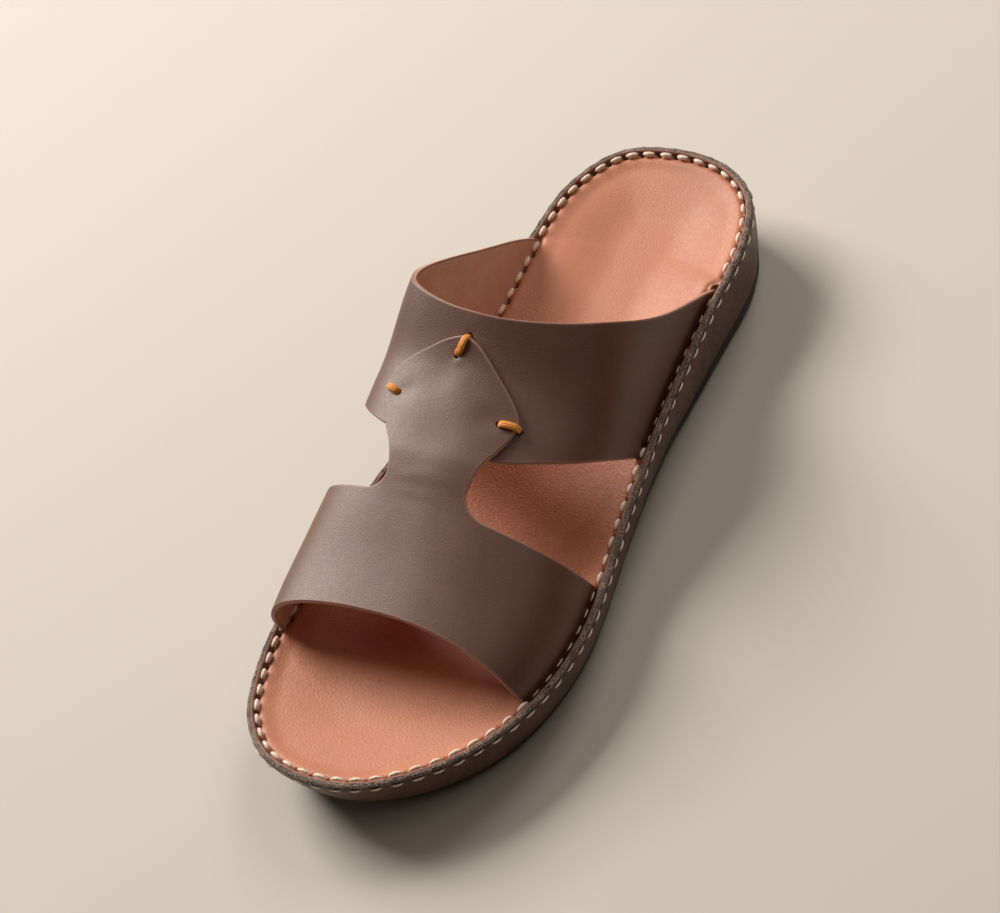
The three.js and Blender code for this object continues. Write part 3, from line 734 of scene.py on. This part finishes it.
# The furrows between the pebbles are painted darker: painted shade in the grain's creases.
painted_furrow_shade = sums("MULTIPLY", stretched(pebbles, 0.5, 0.1), sums("MULTIPLY", coarse, 0.22))
colour = blend(painted_furrow_shade, colour, paint(132, 72, 50))
# Painted shade in the pits at the thread holes and in the corners where a strap's foot meets the footbed.
colour = darkened(colour, "painted_shade", paint(34, 16, 10))
normal = relief(cloud(place, 0.35, 2), 0.05)
normal = relief(sums("MULTIPLY", pebbles, coarse), 0.24, 0.75, normal)
normal = relief(sums("MULTIPLY", wrinkles, wrinkled), 0.28, 0.6, normal)
dress(shader, colour, relief(cloud(place, 9, 2), 0.15, 0.2, normal), wandering(place, 1.6, 0.48, 0.58))

pad_points = np.column_stack([blank, pad_top])
pad_under = np.column_stack([blank, rim_height(pad_along) - pad_depth - pad_thickness])
footbed = two_faced("footbed_pad", pad_points, pad_under, blank_triangles, blank_border,
                    [pad_leather] * 3, {"painted_shade": (np.maximum(notch, painted_corner_shade), notch),
                                        "coarse": (pad_grain, pad_grain),
                                        "wrinkled": (pad_wrinkles, pad_wrinkles)})
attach(footbed, "root")
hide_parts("footbed")

# Straps. Two broad bands of smooth waxed brown leather, lined with suede and cut with a bevelled edge.
# The front strap runs up into a neck and a pointed tongue that lies over the instep strap.
strap_sink = 5.0
instep_height = 65
medial_bow = 10.5
lateral_bow = 5.4
medial_roundness = 2.69
lateral_roundness = 2.1
hug_angle = 26
foot_depth = pad_depth + pad_thickness - strap_sink
neck_corner = {"medial": 6.5, "lateral": 8.0}
crown_radius = 52
wing_blend = 12
neck_start = 0.385
tongue_height = strap_thickness + 0.05
outer_leather = 1.65
edge_bevel = 0.42
lining_inset = (0.72, 0.5)
lining_fade = 0.015
cut_spacing = 0.9
strap_rows_in = [0.12, 0.3, 0.5, 0.66, 0.95, 1.5, 2.3]
strap_grid = 1.35
punch_radius = 1.25
punch_depth = 1.7
dimple_radius = 2.6
dimple_depth = 0.18

# along, crown, lean, bow
crown_rows = [
    (0.172, 0.408, -0.024, 0.45), (0.276, 0.507, -0.045, 0.45), (0.379, 0.626, -0.073, 0.5),
    (0.517, 0.725, -0.114, 0.92), (0.655, 0.977, -0.132, 1), (0.828, 1.005, -0.047, 1),
]
# angle, front, wing end, instep front, instep rear
edge_rows = [
    (0, 0.205, 0.372, 0.51, 0.83), (22, 0.195, 0.366, 0.497, 0.724), (45, 0.201, 0.36, 0.473, 0.643),
    (68, 0.206, 0.356, 0.442, 0.601), (90, 0.207, 0.354, 0.42, 0.583), (112, 0.201, 0.345, 0.42, 0.589),
    (135, 0.188, 0.342, 0.453, 0.624), (158, 0.179, 0.347, 0.499, 0.693), (180, 0.18, 0.36, 0.548, 0.806),
]
# along, inner edge, outer edge, lift
tongue_rows = [
    (0.345, 79, 106.6, 0), (0.36, 79, 106.6, 0.1), (0.385, 78.8, 107.6, 0.55), (0.412, 76.6, 110.2, 1),
    (0.432, 73, 113.7, 1), (0.455, 69.8, 116.8, 1), (0.475, 66.8, 117.8, 1), (0.491, 65.8, 115.2, 1),
    (0.509, 68, 110.4, 1), (0.523, 72.4, 106, 1), (0.537, 79.2, 101.4, 1), (0.549, 85.4, 96.4, 1),
    (0.557, 91, 91, 1),
]
# inner end and outer end of each tack: along, angle
tack_rows = {
    "tack_tip": (0.533, 89.6, 0.5545, 91.2),
    "tack_medial": (0.478, 73, 0.4855, 67.5),
    "tack_lateral": (0.465, 111.6, 0.468, 118.2),
}
crown_share, lean_share, bow_share = [fair_curve(crown_rows, column) for column in (1, 2, 3)]
front_edge, wing_end, instep_front, instep_rear = [
    fair_curve(edge_rows, column, easy=True) for column in (1, 2, 3, 4)]
tongue_medial, tongue_lateral, tongue_lift = [fair_curve(tongue_rows, column) for column in (1, 2, 3)]
neck_medial, neck_lateral = tongue_rows[0][1:3]
tip_along = tongue_rows[-1][0]


def foot_surface(along, angle):
    """The surface of the foot under the straps, from the inner side (0 degrees) to the outer (180)."""
    y = along * shoe_length
    medial = np.interp(y, inner_side[:, 1], inner_side[:, 0]) + strap_inset
    lateral = np.interp(y, outer_side[:, 1], outer_side[:, 0]) - strap_inset
    phi = np.radians(np.clip(angle, 0, 180))
    inner = np.cos(phi) > 0
    power = 2 / np.where(inner, medial_roundness, lateral_roundness)
    bow = np.where(inner, medial_bow, lateral_bow) * bow_share(along) * np.sin(2 * phi) ** 2
    reach = (lateral - medial) / 2 * np.abs(np.cos(phi)) ** power + bow
    lean = lean_share(along) * ball_width * np.sin(phi) ** 2
    x = (medial + lateral) / 2 + np.where(inner, -reach, reach) + lean
    height = instep_height * crown_share(along) * np.abs(np.sin(phi)) ** power
    return np.stack([x, y - shoe_length / 2, rim_height(along) - strap_sink + height], axis=-1)


def strap_point(along, angle, lift):
    """A point at a lift over the foot. Past 0 and 180 degrees the strap goes down into the sole."""
    over = np.clip(angle, 0, 180)
    around = foot_surface(along, over + 0.5) - foot_surface(along, over - 0.5)
    onward = foot_surface(along + 0.5 / shoe_length, over) - foot_surface(along - 0.5 / shoe_length, over)
    normal = np.cross(around, onward)
    normal /= np.linalg.norm(normal, axis=-1)[..., None]
    drop = np.maximum(np.maximum(-angle, angle - 180), 0) * foot_depth
    lift = lift + medial_hug * smooth_step(over, hug_angle, 0)
    top = rim_height(along) - strap_sink
    inward = wall_inset(along, top - drop) - wall_inset(along, top)
    point = foot_surface(along, over) + normal * (lift - inward)[..., None]
    point[..., 2] -= drop
    return point


class Pattern:
    """The flat pattern of a strap: millimetres round the foot and along the shoe, and the angles."""

    def __init__(self, along):
        self.angles = np.concatenate([[-1], np.linspace(0, 180, 721), [181]])
        line = foot_surface(np.full(721, along), self.angles[1:-1])
        run = np.append(0, np.cumsum(np.linalg.norm(np.diff(line, axis=0), axis=1)))
        self.round = np.concatenate([[-foot_depth], run, [run[-1] + foot_depth]])

    def flat(self, along, angle):
        millimetres = np.interp(angle, self.angles, self.round)
        return np.stack([millimetres, np.asarray(along) * shoe_length], axis=-1)

    def worn(self, points):
        return points[:, 1] / shoe_length, np.interp(points[:, 0], self.round, self.angles)


def resampled(line, spacing):
    """Even steps along an open line, without its last point."""
    run = np.append(0, np.cumsum(np.linalg.norm(np.diff(line, axis=0), axis=1)))
    at = np.linspace(0, run[-1], max(2, int(round(run[-1] / spacing)) + 1))[:-1]
    return np.column_stack([np.interp(at, run, line[:, k]) for k in (0, 1)])


def strap_cut(pattern, lines):
    """The closed cutting line of a strap from its edges, each a list of places along and angle."""
    flat = [pattern.flat(np.array(line)[:, 0], np.array(line)[:, 1]) for line in lines]
    return np.concatenate([resampled(line, cut_spacing) for line in flat])


def foot_end(first_edge, last_edge, angle):
    """The end of a strap inside the sole from one edge to the other, at an angle past the side."""
    side = np.clip(angle, 0, 180)
    return [(float(edge(side)), angle) for edge in (first_edge, last_edge)]


def wing_rear(corner, radius, end_angle):
    """The rear edge of a wing of the front strap, from its foot to the round corner at the neck."""
    width = math.degrees(radius / crown_radius)
    away_from_neck = 1 if end_angle > corner else -1
    angles = np.linspace(end_angle, corner + away_from_neck * width, 160)
    line = [(float(wing_end(np.clip(a, 0, 180))), a) for a in angles]
    for turn_angle in np.linspace(0, math.pi / 2, 24)[1:]:
        angle = corner + away_from_neck * width * (1 - math.sin(turn_angle))
        line.append((float(wing_end(angle)) + radius / shoe_length * (1 - math.cos(turn_angle)), angle))
    return line


front_pattern = Pattern(0.3)
instep_pattern = Pattern(0.6)
all_angles = np.linspace(-1, 181, 1200)
clear_angles = np.clip(all_angles, 0, 180)
lateral_rear = wing_rear(neck_lateral, neck_corner["lateral"], 181)
medial_rear = wing_rear(neck_medial, neck_corner["medial"], -1)
lateral_up = np.linspace(lateral_rear[-1][0], tip_along, 200)
medial_down = np.linspace(tip_along, medial_rear[-1][0], 200)
front_cut = strap_cut(front_pattern, [
    np.column_stack([front_edge(clear_angles), all_angles]),
    foot_end(front_edge, wing_end, 181),
    lateral_rear,
    np.column_stack([lateral_up, tongue_lateral(lateral_up)]),
    np.column_stack([medial_down, tongue_medial(medial_down)]),
    medial_rear[::-1],
    foot_end(wing_end, front_edge, -1),
])
instep_cut = strap_cut(instep_pattern, [
    np.column_stack([instep_front(clear_angles), all_angles]),
    foot_end(instep_front, instep_rear, 181),
    np.column_stack([instep_rear(clear_angles), all_angles])[::-1],
    foot_end(instep_rear, instep_front, -1),
])


def hole_rings(pattern, along, angle):
    """Points round a punched hole, so that its mouth is round."""
    centre = pattern.flat(along, angle)
    rings = [np.array([centre])]
    for radius, steps in ((0.35, 6), (0.7, 10), (1.0, 14), (1.3, 16), (1.7, 18), (2.3, 18), (3.1, 18)):
        turns = np.linspace(0, 2 * math.pi, steps, endpoint=False)
        rings.append(centre + radius * np.column_stack([np.cos(turns), np.sin(turns)]))
    return np.concatenate(rings)


def tack_way(tack):
    """The way from the inner end of a tack to its outer end."""
    along, angle, out_along, out_angle = tack_rows[tack]
    ends = strap_point(np.array([along, out_along]), np.array([angle, out_angle]), np.zeros(2))
    return ends[1] - ends[0]


def on_tack(tack, share):
    """The place along and the angle at a share of a tack's way."""
    along, angle, out_along, out_angle = tack_rows[tack]
    return along + (out_along - along) * share, angle + (out_angle - angle) * share


def past_end(tack, extra):
    """The place past the outer end of a tack by some millimetres, where it dives into the strap below."""
    return on_tack(tack, 1 + extra / np.linalg.norm(tack_way(tack)))


tongue_holes = [tack_rows[tack][:2] for tack in tack_rows]
strap_holes = [past_end(tack, 0.45) for tack in tack_rows]


def holes_sunk_and_painted_shade(pattern, flat, holes):
    """How far the leather goes down in its punched holes and round them, and how much painted shade darkens
    the holes.
    """
    sunk, dark = np.zeros(len(flat)), np.zeros(len(flat))
    for along, angle in holes:
        gap = np.linalg.norm(flat - pattern.flat(along, angle), axis=1)
        sunk = np.maximum(sunk, punch_depth * smooth_step(gap, punch_radius, 0.55 * punch_radius))
        sunk = np.maximum(sunk, dimple_depth * np.exp(-(gap / dimple_radius) ** 2))
        dark = np.maximum(dark, smooth_step(gap, punch_radius * 1.02, 0.7 * punch_radius))
    return sunk, dark


# Soft troughs (below nought) and ridges of the front strap: along, angle, depth, half length along the
# shoe and half width round the foot in millimetres, turn in degrees
front_creases = [
    (0.507, 87, -0.36, 6.5, 8.5, 25),
    (0.526, 90, 0.22, 1.3, 2.4, 0),
    (0.467, 107.5, -0.4, 4.0, 5.0, 0),
    (0.481, 76.5, -0.35, 3.5, 4.0, 0),
    (0.432, 92, -0.45, 9.5, 12.0, 0),
    (0.38, 93, 0.3, 9.0, 13.0, 0),
    (0.378, 88, 0.07, 1.3, 7.0, 12),
    (0.368, 94, -0.07, 1.3, 6.0, 4),
    (0.358, 86, 0.06, 1.4, 8.0, -10),
    (0.348, 92, -0.05, 1.4, 8.0, -4),
    (0.30, 60, 0.3, 12.0, 16.0, 20),
    (0.26, 125, -0.25, 10.0, 14.0, -20),
]
instep_creases = [
    (0.50, 128, -0.3, 10.0, 13.0, 15),
    (0.58, 60, 0.3, 12.0, 15.0, -20),
    (0.55, 150, 0.25, 14.0, 10.0, 10),
]


def creased(pattern, flat, creases):
    """The lift of the listed troughs and ridges."""
    lift = np.zeros(len(flat))
    for along, angle, depth, long_half, wide_half, turned in creases:
        offset = flat - pattern.flat(along, angle)
        c, s = math.cos(math.radians(turned)), math.sin(math.radians(turned))
        round_foot = offset[:, 0] * c + offset[:, 1] * s
        along_shoe = offset[:, 1] * c - offset[:, 0] * s
        lift += depth * np.exp(-(along_shoe / long_half) ** 2 - (round_foot / wide_half) ** 2)
    return lift


strap_grain, shader, place = look_of("strap_leather", 0.48, coat=0.34, coat_roughness=0.46)
tone = stretched(cloud(place, 30, 5, 0.6), 0.3, 0.72)
colour = blend(tone, paint(88, 50, 32), paint(105, 62, 42))
near_cut = kept_value(place, "from_cut")
colour = blend(stretched(near_cut, 0.9, 0.15, 0.0, 0.6), colour, paint(168, 122, 104))
# Painted shade inside the punched holes.
colour = darkened(colour, "holes_sunk_and_painted_shade", paint(14, 7, 5))
long_pores = warped(place, 1.4, 0.9, (0.75, 1.0, 1.0))
pores = node(place, "ShaderNodeTexVoronoi", {"feature": "F1"}, {"Vector": long_pores, "Scale": 2300.0})
normal = relief(pores.outputs["Distance"], 0.09, 0.6)
normal = relief(cloud(place, 0.3, 2), 0.06, 0.9, normal)
dress(shader, colour, relief(cloud(place, 14, 1), 0.35, 0.3, normal), wandering(place, 0.9, 0.43, 0.55))

strap_edge, shader, place = look_of("strap_edge", 0.5, sheen=0.05)
colour = blend(cloud(place, 1.2), paint(172, 126, 110), paint(208, 160, 142))
dress(shader, colour, relief(cloud(place, 0.4), 0.06))

strap_suede, shader, place = look_of("strap_suede", 0.92, sheen=0.5, specular=0.15)
nap = sums("ADD", sums("MULTIPLY", cloud(place, 7, 3), 0.3),
           sums("MULTIPLY", cloud(place, 0.6, 3, 0.7), 0.7))
colour = blend(stretched(nap, 0.38, 0.62), paint(196, 148, 118), paint(216, 170, 138))
near_cut = kept_value(place, "from_cut")
# A dark band just inside the cut is painted shade under the lining's set-back step; the light rim at the cut
# is the back of the outer leather.
colour = blend(stretched(near_cut, 0.82, 0.7), colour, paint(62, 40, 30))
colour = blend(stretched(near_cut, 0.66, 0.6), colour, paint(176, 126, 108))
dress(shader, colour, relief(cloud(place, 0.45, 3, 0.7), 0.18))


def strap(name, pattern, cut, holes, creases, lift, lining_end):
    """A strap: its blank cut out, bent over the foot, with bevelled edges. Its lining is set back from
    the cut as far along as it shows."""
    extra = [hole_rings(pattern, *hole) for hole in holes]
    flat, triangles, from_cut, border = cut_blank(cut, strap_rows_in, strap_grid, extra)
    along, angle = pattern.worn(flat)
    sunk, dark = holes_sunk_and_painted_shade(pattern, flat, holes)
    shape = lift(along, np.clip(angle, 0, 180)) + creased(pattern, flat, creases)
    bevel = np.clip(1 - from_cut / edge_bevel, 0, 1)
    top = shape - edge_bevel * (1 - np.sqrt(1 - bevel ** 2)) - sunk
    lined = 1 - smooth_step(along, lining_end, lining_end + lining_fade)
    set_back = (strap_thickness - outer_leather) * smooth_step(from_cut, *lining_inset) * lined
    thin_foot = np.maximum(smooth_step(angle, 8, 1), smooth_step(angle, 172, 179))
    bottom = shape - strap_thickness + np.maximum(set_back, (strap_thickness - foot_thickness) * thin_foot)
    values = {"from_cut": (from_cut, from_cut), "holes_sunk_and_painted_shade": (dark, np.zeros(len(flat)))}
    return two_faced(name, strap_point(along, angle, top), strap_point(along, angle, bottom),
                     triangles, border, [strap_grain, strap_edge, strap_suede], values)


def front_lift(along, angle):
    """The neck rises onto the instep strap, and the wings beside it follow over a few degrees."""
    from_neck = np.maximum(np.maximum(neck_medial - angle, angle - neck_lateral), 0)
    beside = np.where(along > neck_start, 1, np.clip(1 - from_neck / wing_blend, 0, 1))
    return tongue_height * tongue_lift(along) * beside


def instep_lift(along, angle):
    """The instep strap lies on the foot all over."""
    return np.zeros(len(along))


front_strap = strap("front_strap", front_pattern, front_cut, tongue_holes, front_creases, front_lift, 0.395)
instep_strap = strap("instep_strap", instep_pattern, instep_cut, strap_holes, instep_creases, instep_lift, 1)
for piece in (front_strap, instep_strap):
    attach(piece, "root")
    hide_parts("upper")

# Tacks. Three short lengths of flat orange waxed cord that hold the tongue down. Each comes up through
# a hole near the tongue's edge, lies over the edge and goes down through the strap below.
cord_width = 2.5
cord_height = 1.6
cord_swell = 0.07
cord_squareness = 0.8
cord_sides = 20
cord_steps = 46

waxed_cord, shader, place = look_of("waxed_cord", 0.5, coat=0.15, sheen=0.15)
strands = kept_value(place, "strand")
lay = stretched(sums("SINE", sums("MULTIPLY", strands, 30.0)), -1.0, 1.0)
fluff = cloud(place, 0.5, 3)
colour = blend(lay, paint(244, 110, 4), paint(255, 180, 48))
colour = blend(stretched(fluff, 0.45, 0.7, 0.0, 0.4), colour, paint(255, 194, 74))
# Painted shade where the cord dives into its holes.
colour = darkened(colour, "buried_painted_shade", paint(90, 40, 12))
dress(shader, colour, relief(lay, 0.2, 1.0, relief(fluff, 0.12)))

for tack in tack_rows:
    way = tack_way(tack)
    span = float(np.linalg.norm(way))
    # millimetres past the inner hole, lift of the cord's middle
    route = np.array([(0.25, 0.1), (0.3, 1.2), (0.7, 2.2), (1.6, tongue_height + 0.65),
                      (span * 0.55, tongue_height + 0.9), (span - 1.0, tongue_height + 0.6),
                      (span - 0.05, 1.5), (span + 0.4, 0.5), (span + 0.5, -1.2)])
    knots = np.append(0, np.cumsum(np.linalg.norm(np.diff(route, axis=0), axis=1)))
    at = np.linspace(0, knots[-1], cord_steps)
    smooth_route = [fair_curve(list(zip(knots, route[:, k])), 1)(at) for k in (0, 1)]
    place = on_tack(tack, smooth_route[0] / span)
    middle = strap_point(*place, smooth_route[1])
    above = strap_point(*place, smooth_route[1] + 1) - middle
    heading = np.gradient(middle, axis=0)
    heading /= np.linalg.norm(heading, axis=1)[:, None]
    steady = np.cross(way / span, above[len(above) // 2])
    sideways = np.broadcast_to(steady / np.linalg.norm(steady), middle.shape)
    sideways = sideways - heading * (sideways * heading).sum(1)[:, None]
    sideways = sideways / np.linalg.norm(sideways, axis=1)[:, None]
    face = np.cross(sideways, heading)
    turns = np.linspace(0, 2 * math.pi, cord_sides, endpoint=False)
    rings = []
    for k in range(len(middle)):
        swell = 1 + cord_swell * math.sin(math.pi * k / (len(middle) - 1))
        pad = np.sign(np.cos(turns)) * np.abs(np.cos(turns)) ** cord_squareness
        rings.append(middle[k] + swell * (sideways[k] * (cord_width / 2 * pad)[:, None]
                                          + face[k] * (cord_height / 2 * np.sin(turns))[:, None]))
    points = np.concatenate(rings + [middle[:1], middle[-1:]])
    faces = wrapped_faces(len(rings), cord_sides)[:, ::-1].tolist()
    last = len(rings) * cord_sides
    for k in range(cord_sides):
        after = (k + 1) % cord_sides
        faces.append((last, k, after))
        faces.append((last + 1, last - cord_sides + after, last - cord_sides + k))
    strand = np.append(np.tile(np.cos(turns) * 0.5, len(rings)), [0, 0])
    # How far the cord has gone down into its hole, for the painted shade there.
    sunk = np.repeat(smooth_step(smooth_route[1], 1.4, 0.4), cord_sides)
    piece = new_piece(tack + "_cord", points, faces, [waxed_cord], None,
                      {"strand": strand, "buried_painted_shade": np.append(sunk, [1, 1])})
    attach(piece, "root")
    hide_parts(tack)

# Seams. Thick cream linen thread in a saddle stitch: fat oval stitches over the footbed's edge, and
# thinner ones below the raw edge on the band's outer face and along the straps' feet.
linen, shader, place = look_of("linen_thread", 0.6, sheen=0.2)
local = node(place, "ShaderNodeAttribute", {"attribute_name": "on_stitch"}).outputs["Vector"]
parts = node(place, "ShaderNodeSeparateXYZ", inputs={"Vector": local})
lean_angle = sums("ARCTAN2", parts.outputs["Z"], parts.outputs["Y"])
lengthwise = sums("MULTIPLY", parts.outputs["X"], 3600.0)
phase = sums("ADD", lengthwise, sums("MULTIPLY", lean_angle, 2.0))
plies = stretched(sums("SINE", phase), -1.0, 0.4)
colour = patchy(place, 5, paint(240, 218, 198), paint(254, 240, 226))
colour = blend(plies, paint(232, 208, 184), colour)
dress(shader, colour, relief(plies, 0.1, 0.4, relief(cloud(place, 0.3), 0.05)))

stitch_tree = bpy.data.node_groups.new("row_of_stitches", "GeometryNodeTree")
stitch_values = {
    "Stitch length": 0.0046, "Thread width": 0.0018, "Thread height": 0.8, "Arch": 0.0005, "Slant": 0.0,
    "Unevenness": 0.06, "Seed": 5,
}
stitch_inputs = {}
for in_out in ("INPUT", "OUTPUT"):
    stitch_tree.interface.new_socket(name="Geometry", in_out=in_out, socket_type="NodeSocketGeometry")
for name, value in stitch_values.items():
    kind = "NodeSocketInt" if name == "Seed" else "NodeSocketFloat"
    socket = stitch_tree.interface.new_socket(name=name, in_out="INPUT", socket_type=kind)
    socket.default_value = value
    stitch_inputs[name] = socket.identifier
given_out = stitch_tree.nodes.new("NodeGroupInput").outputs


def maths(operation, *values):
    return node(stitch_tree, "ShaderNodeMath", {"operation": operation}, dict(enumerate(values))).outputs[0]


def stitch_node(kind, settings=None, **inputs):
    """A node of the stitches' tree, its inputs by name with _ for a space, and its first output."""
    named = {key.replace("_", " "): value for key, value in inputs.items()}
    return node(stitch_tree, kind, settings, named).outputs[0]


def wander(seed):
    """A random value for each stitch, within the unevenness both ways."""
    unevenness = given_out["Unevenness"]
    limits = {2: maths("MULTIPLY", unevenness, -1.0), 3: unevenness, "Seed": seed}
    return node(stitch_tree, "FunctionNodeRandomValue", {"data_type": "FLOAT"}, limits).outputs[1]


def kept_vector(name):
    """A direction that the row of places keeps."""
    return stitch_node("GeometryNodeInputNamedAttribute", {"data_type": "FLOAT_VECTOR"}, Name=name)


half = maths("MULTIPLY", given_out["Stitch length"], 0.5)
start = stitch_node("ShaderNodeCombineXYZ", X=maths("MULTIPLY", half, -1.0))
end = stitch_node("ShaderNodeCombineXYZ", X=half)
line = stitch_node("GeometryNodeCurvePrimitiveLine", {"mode": "POINTS"}, Start=start, End=end)
line = stitch_node("GeometryNodeResampleCurve", {"mode": "COUNT"}, Curve=line, Count=11)
share = node(stitch_tree, "GeometryNodeSplineParameter").outputs["Factor"]
centred = maths("SUBTRACT", maths("MULTIPLY", share, 2.0), 1.0)
square = maths("MULTIPLY", centred, centred)
rise = maths("MULTIPLY", given_out["Arch"], maths("SUBTRACT", 1.0, square))
lifted = stitch_node("ShaderNodeCombineXYZ", Z=rise)
line = stitch_node("GeometryNodeSetPosition", Geometry=line, Offset=lifted)
plump = maths("SQRT", maths("MAXIMUM", maths("SUBTRACT", 1.03, square), 0.0))
thread_radius = maths("MULTIPLY", given_out["Thread width"], 0.5)
circle = stitch_node("GeometryNodeCurvePrimitiveCircle", Resolution=8, Radius=thread_radius)
tube = stitch_node("GeometryNodeCurveToMesh", Curve=line, Profile_Curve=circle, Scale=plump, Fill_Caps=True)
flattened = stitch_node("ShaderNodeCombineXYZ", X=1.0, Y=1.0, Z=given_out["Thread height"])
tube = stitch_node("GeometryNodeTransform", Geometry=tube, Scale=flattened)
tube = stitch_node("GeometryNodeStoreNamedAttribute", {"data_type": "FLOAT_VECTOR", "domain": "POINT"},
                   Geometry=tube, Name="on_stitch", Value=stitch_node("GeometryNodeInputPosition"))
facing = node(stitch_tree, "FunctionNodeAxesToRotation", {"primary_axis": "Z", "secondary_axis": "X"},
              {"Primary Axis": kept_vector("stand"), "Secondary Axis": kept_vector("run")}).outputs[0]
slanted = stitch_node("ShaderNodeCombineXYZ", Z=maths("ADD", wander(given_out["Seed"]), given_out["Slant"]))
facing = stitch_node("FunctionNodeRotateRotation", {"rotation_space": "LOCAL"},
                     Rotation=facing, Rotate_By=slanted)
size = maths("ADD", 1.0, wander(maths("ADD", given_out["Seed"], 7.0)))
points = stitch_node("GeometryNodeMeshToPoints", Mesh=given_out["Geometry"])
sewn = stitch_node("GeometryNodeInstanceOnPoints", Points=points, Instance=tube, Rotation=facing, Scale=size)
sewn = stitch_node("GeometryNodeRealizeInstances", Geometry=sewn)
sewn = stitch_node("GeometryNodeSetMaterial", Geometry=sewn, Material=linen)
result = stitch_tree.nodes.new("NodeGroupOutput")
stitch_tree.links.new(sewn, result.inputs[0])


def row_of_stitches(name, places, runs, stands, own_values):
    """Sews a row: a stitch at each place, lying along its run and standing off the leather."""
    mesh = bpy.data.meshes.new(name)
    mesh.from_pydata((np.asarray(places) / 1000).tolist(), [], [])
    for key, vectors in (("run", runs), ("stand", stands)):
        mesh.attributes.new(key, "FLOAT_VECTOR", "POINT").data.foreach_set("vector", np.ravel(vectors))
    piece = bpy.data.objects.new(name, mesh)
    bpy.context.scene.collection.objects.link(piece)
    modifier = piece.modifiers.new("stitches", "NODES")
    modifier.node_group = stitch_tree
    for key, value in own_values.items():
        modifier[stitch_inputs[key]] = value
    evaluated = piece.evaluated_get(bpy.context.evaluated_depsgraph_get())
    sewn_mesh = bpy.data.meshes.new_from_object(evaluated)
    piece.modifiers.clear()
    piece.data = sewn_mesh
    sewn_mesh.shade_smooth()
    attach(piece, "root")


inner_row_inset = 0.7
inner_row_pull = 0.45
thread_lift = 0.05
strap_row_drop = 1.6
strap_row_fall = 1.1
seam_steps = Outline(stitch_count)
seam_rim = rim_height(seam_steps.along)
level_run = np.column_stack([seam_steps.run, np.gradient(seam_rim, seam_steps.length / stitch_count)])
inward = np.column_stack([seam_steps.inward, np.zeros(stitch_count)])

at_foot = at_strap_foot(seam_steps)
inner_inset = pad_inset(seam_steps) + inner_row_inset - inner_row_pull * at_foot
inner_places = seam_steps.ring(inner_inset, seam_rim - inner_row_drop)
in_sight = (at_foot < 0.02) | (seam_steps.inward[:, 0] > 0)
row_of_stitches("inner_seam", inner_places[in_sight], level_run[in_sight],
                inward[in_sight] * 0.75 + [0, 0, 0.65], {})

outer_height = seam_rim - outer_row_drop
outer_places = seam_steps.ring(wall_inset(seam_steps.along, outer_height) + thread_lift, outer_height)
row_of_stitches("outer_seam", outer_places, level_run, -inward,
                {"Stitch length": 0.0043, "Thread width": 0.0008, "Thread height": 0.85, "Arch": 0.0004,
                 "Slant": 0.05, "Seed": 9})

on_strap = (at_foot > 0.98) & (seam_steps.inward[:, 0] < 0)
strap_row_height = seam_rim - strap_row_drop - strap_row_fall * smooth_step(seam_steps.along, 0.42, 0.5)
strap_row_inset = strap_inset + wall_inset(seam_steps.along, strap_row_height) - 0.1
strap_places = seam_steps.ring(strap_row_inset, strap_row_height)
row_of_stitches("strap_seam", strap_places[on_strap], level_run[on_strap], -inward[on_strap],
                {"Stitch length": 0.0038, "Thread width": 0.00065, "Arch": 0.0002, "Seed": 3})
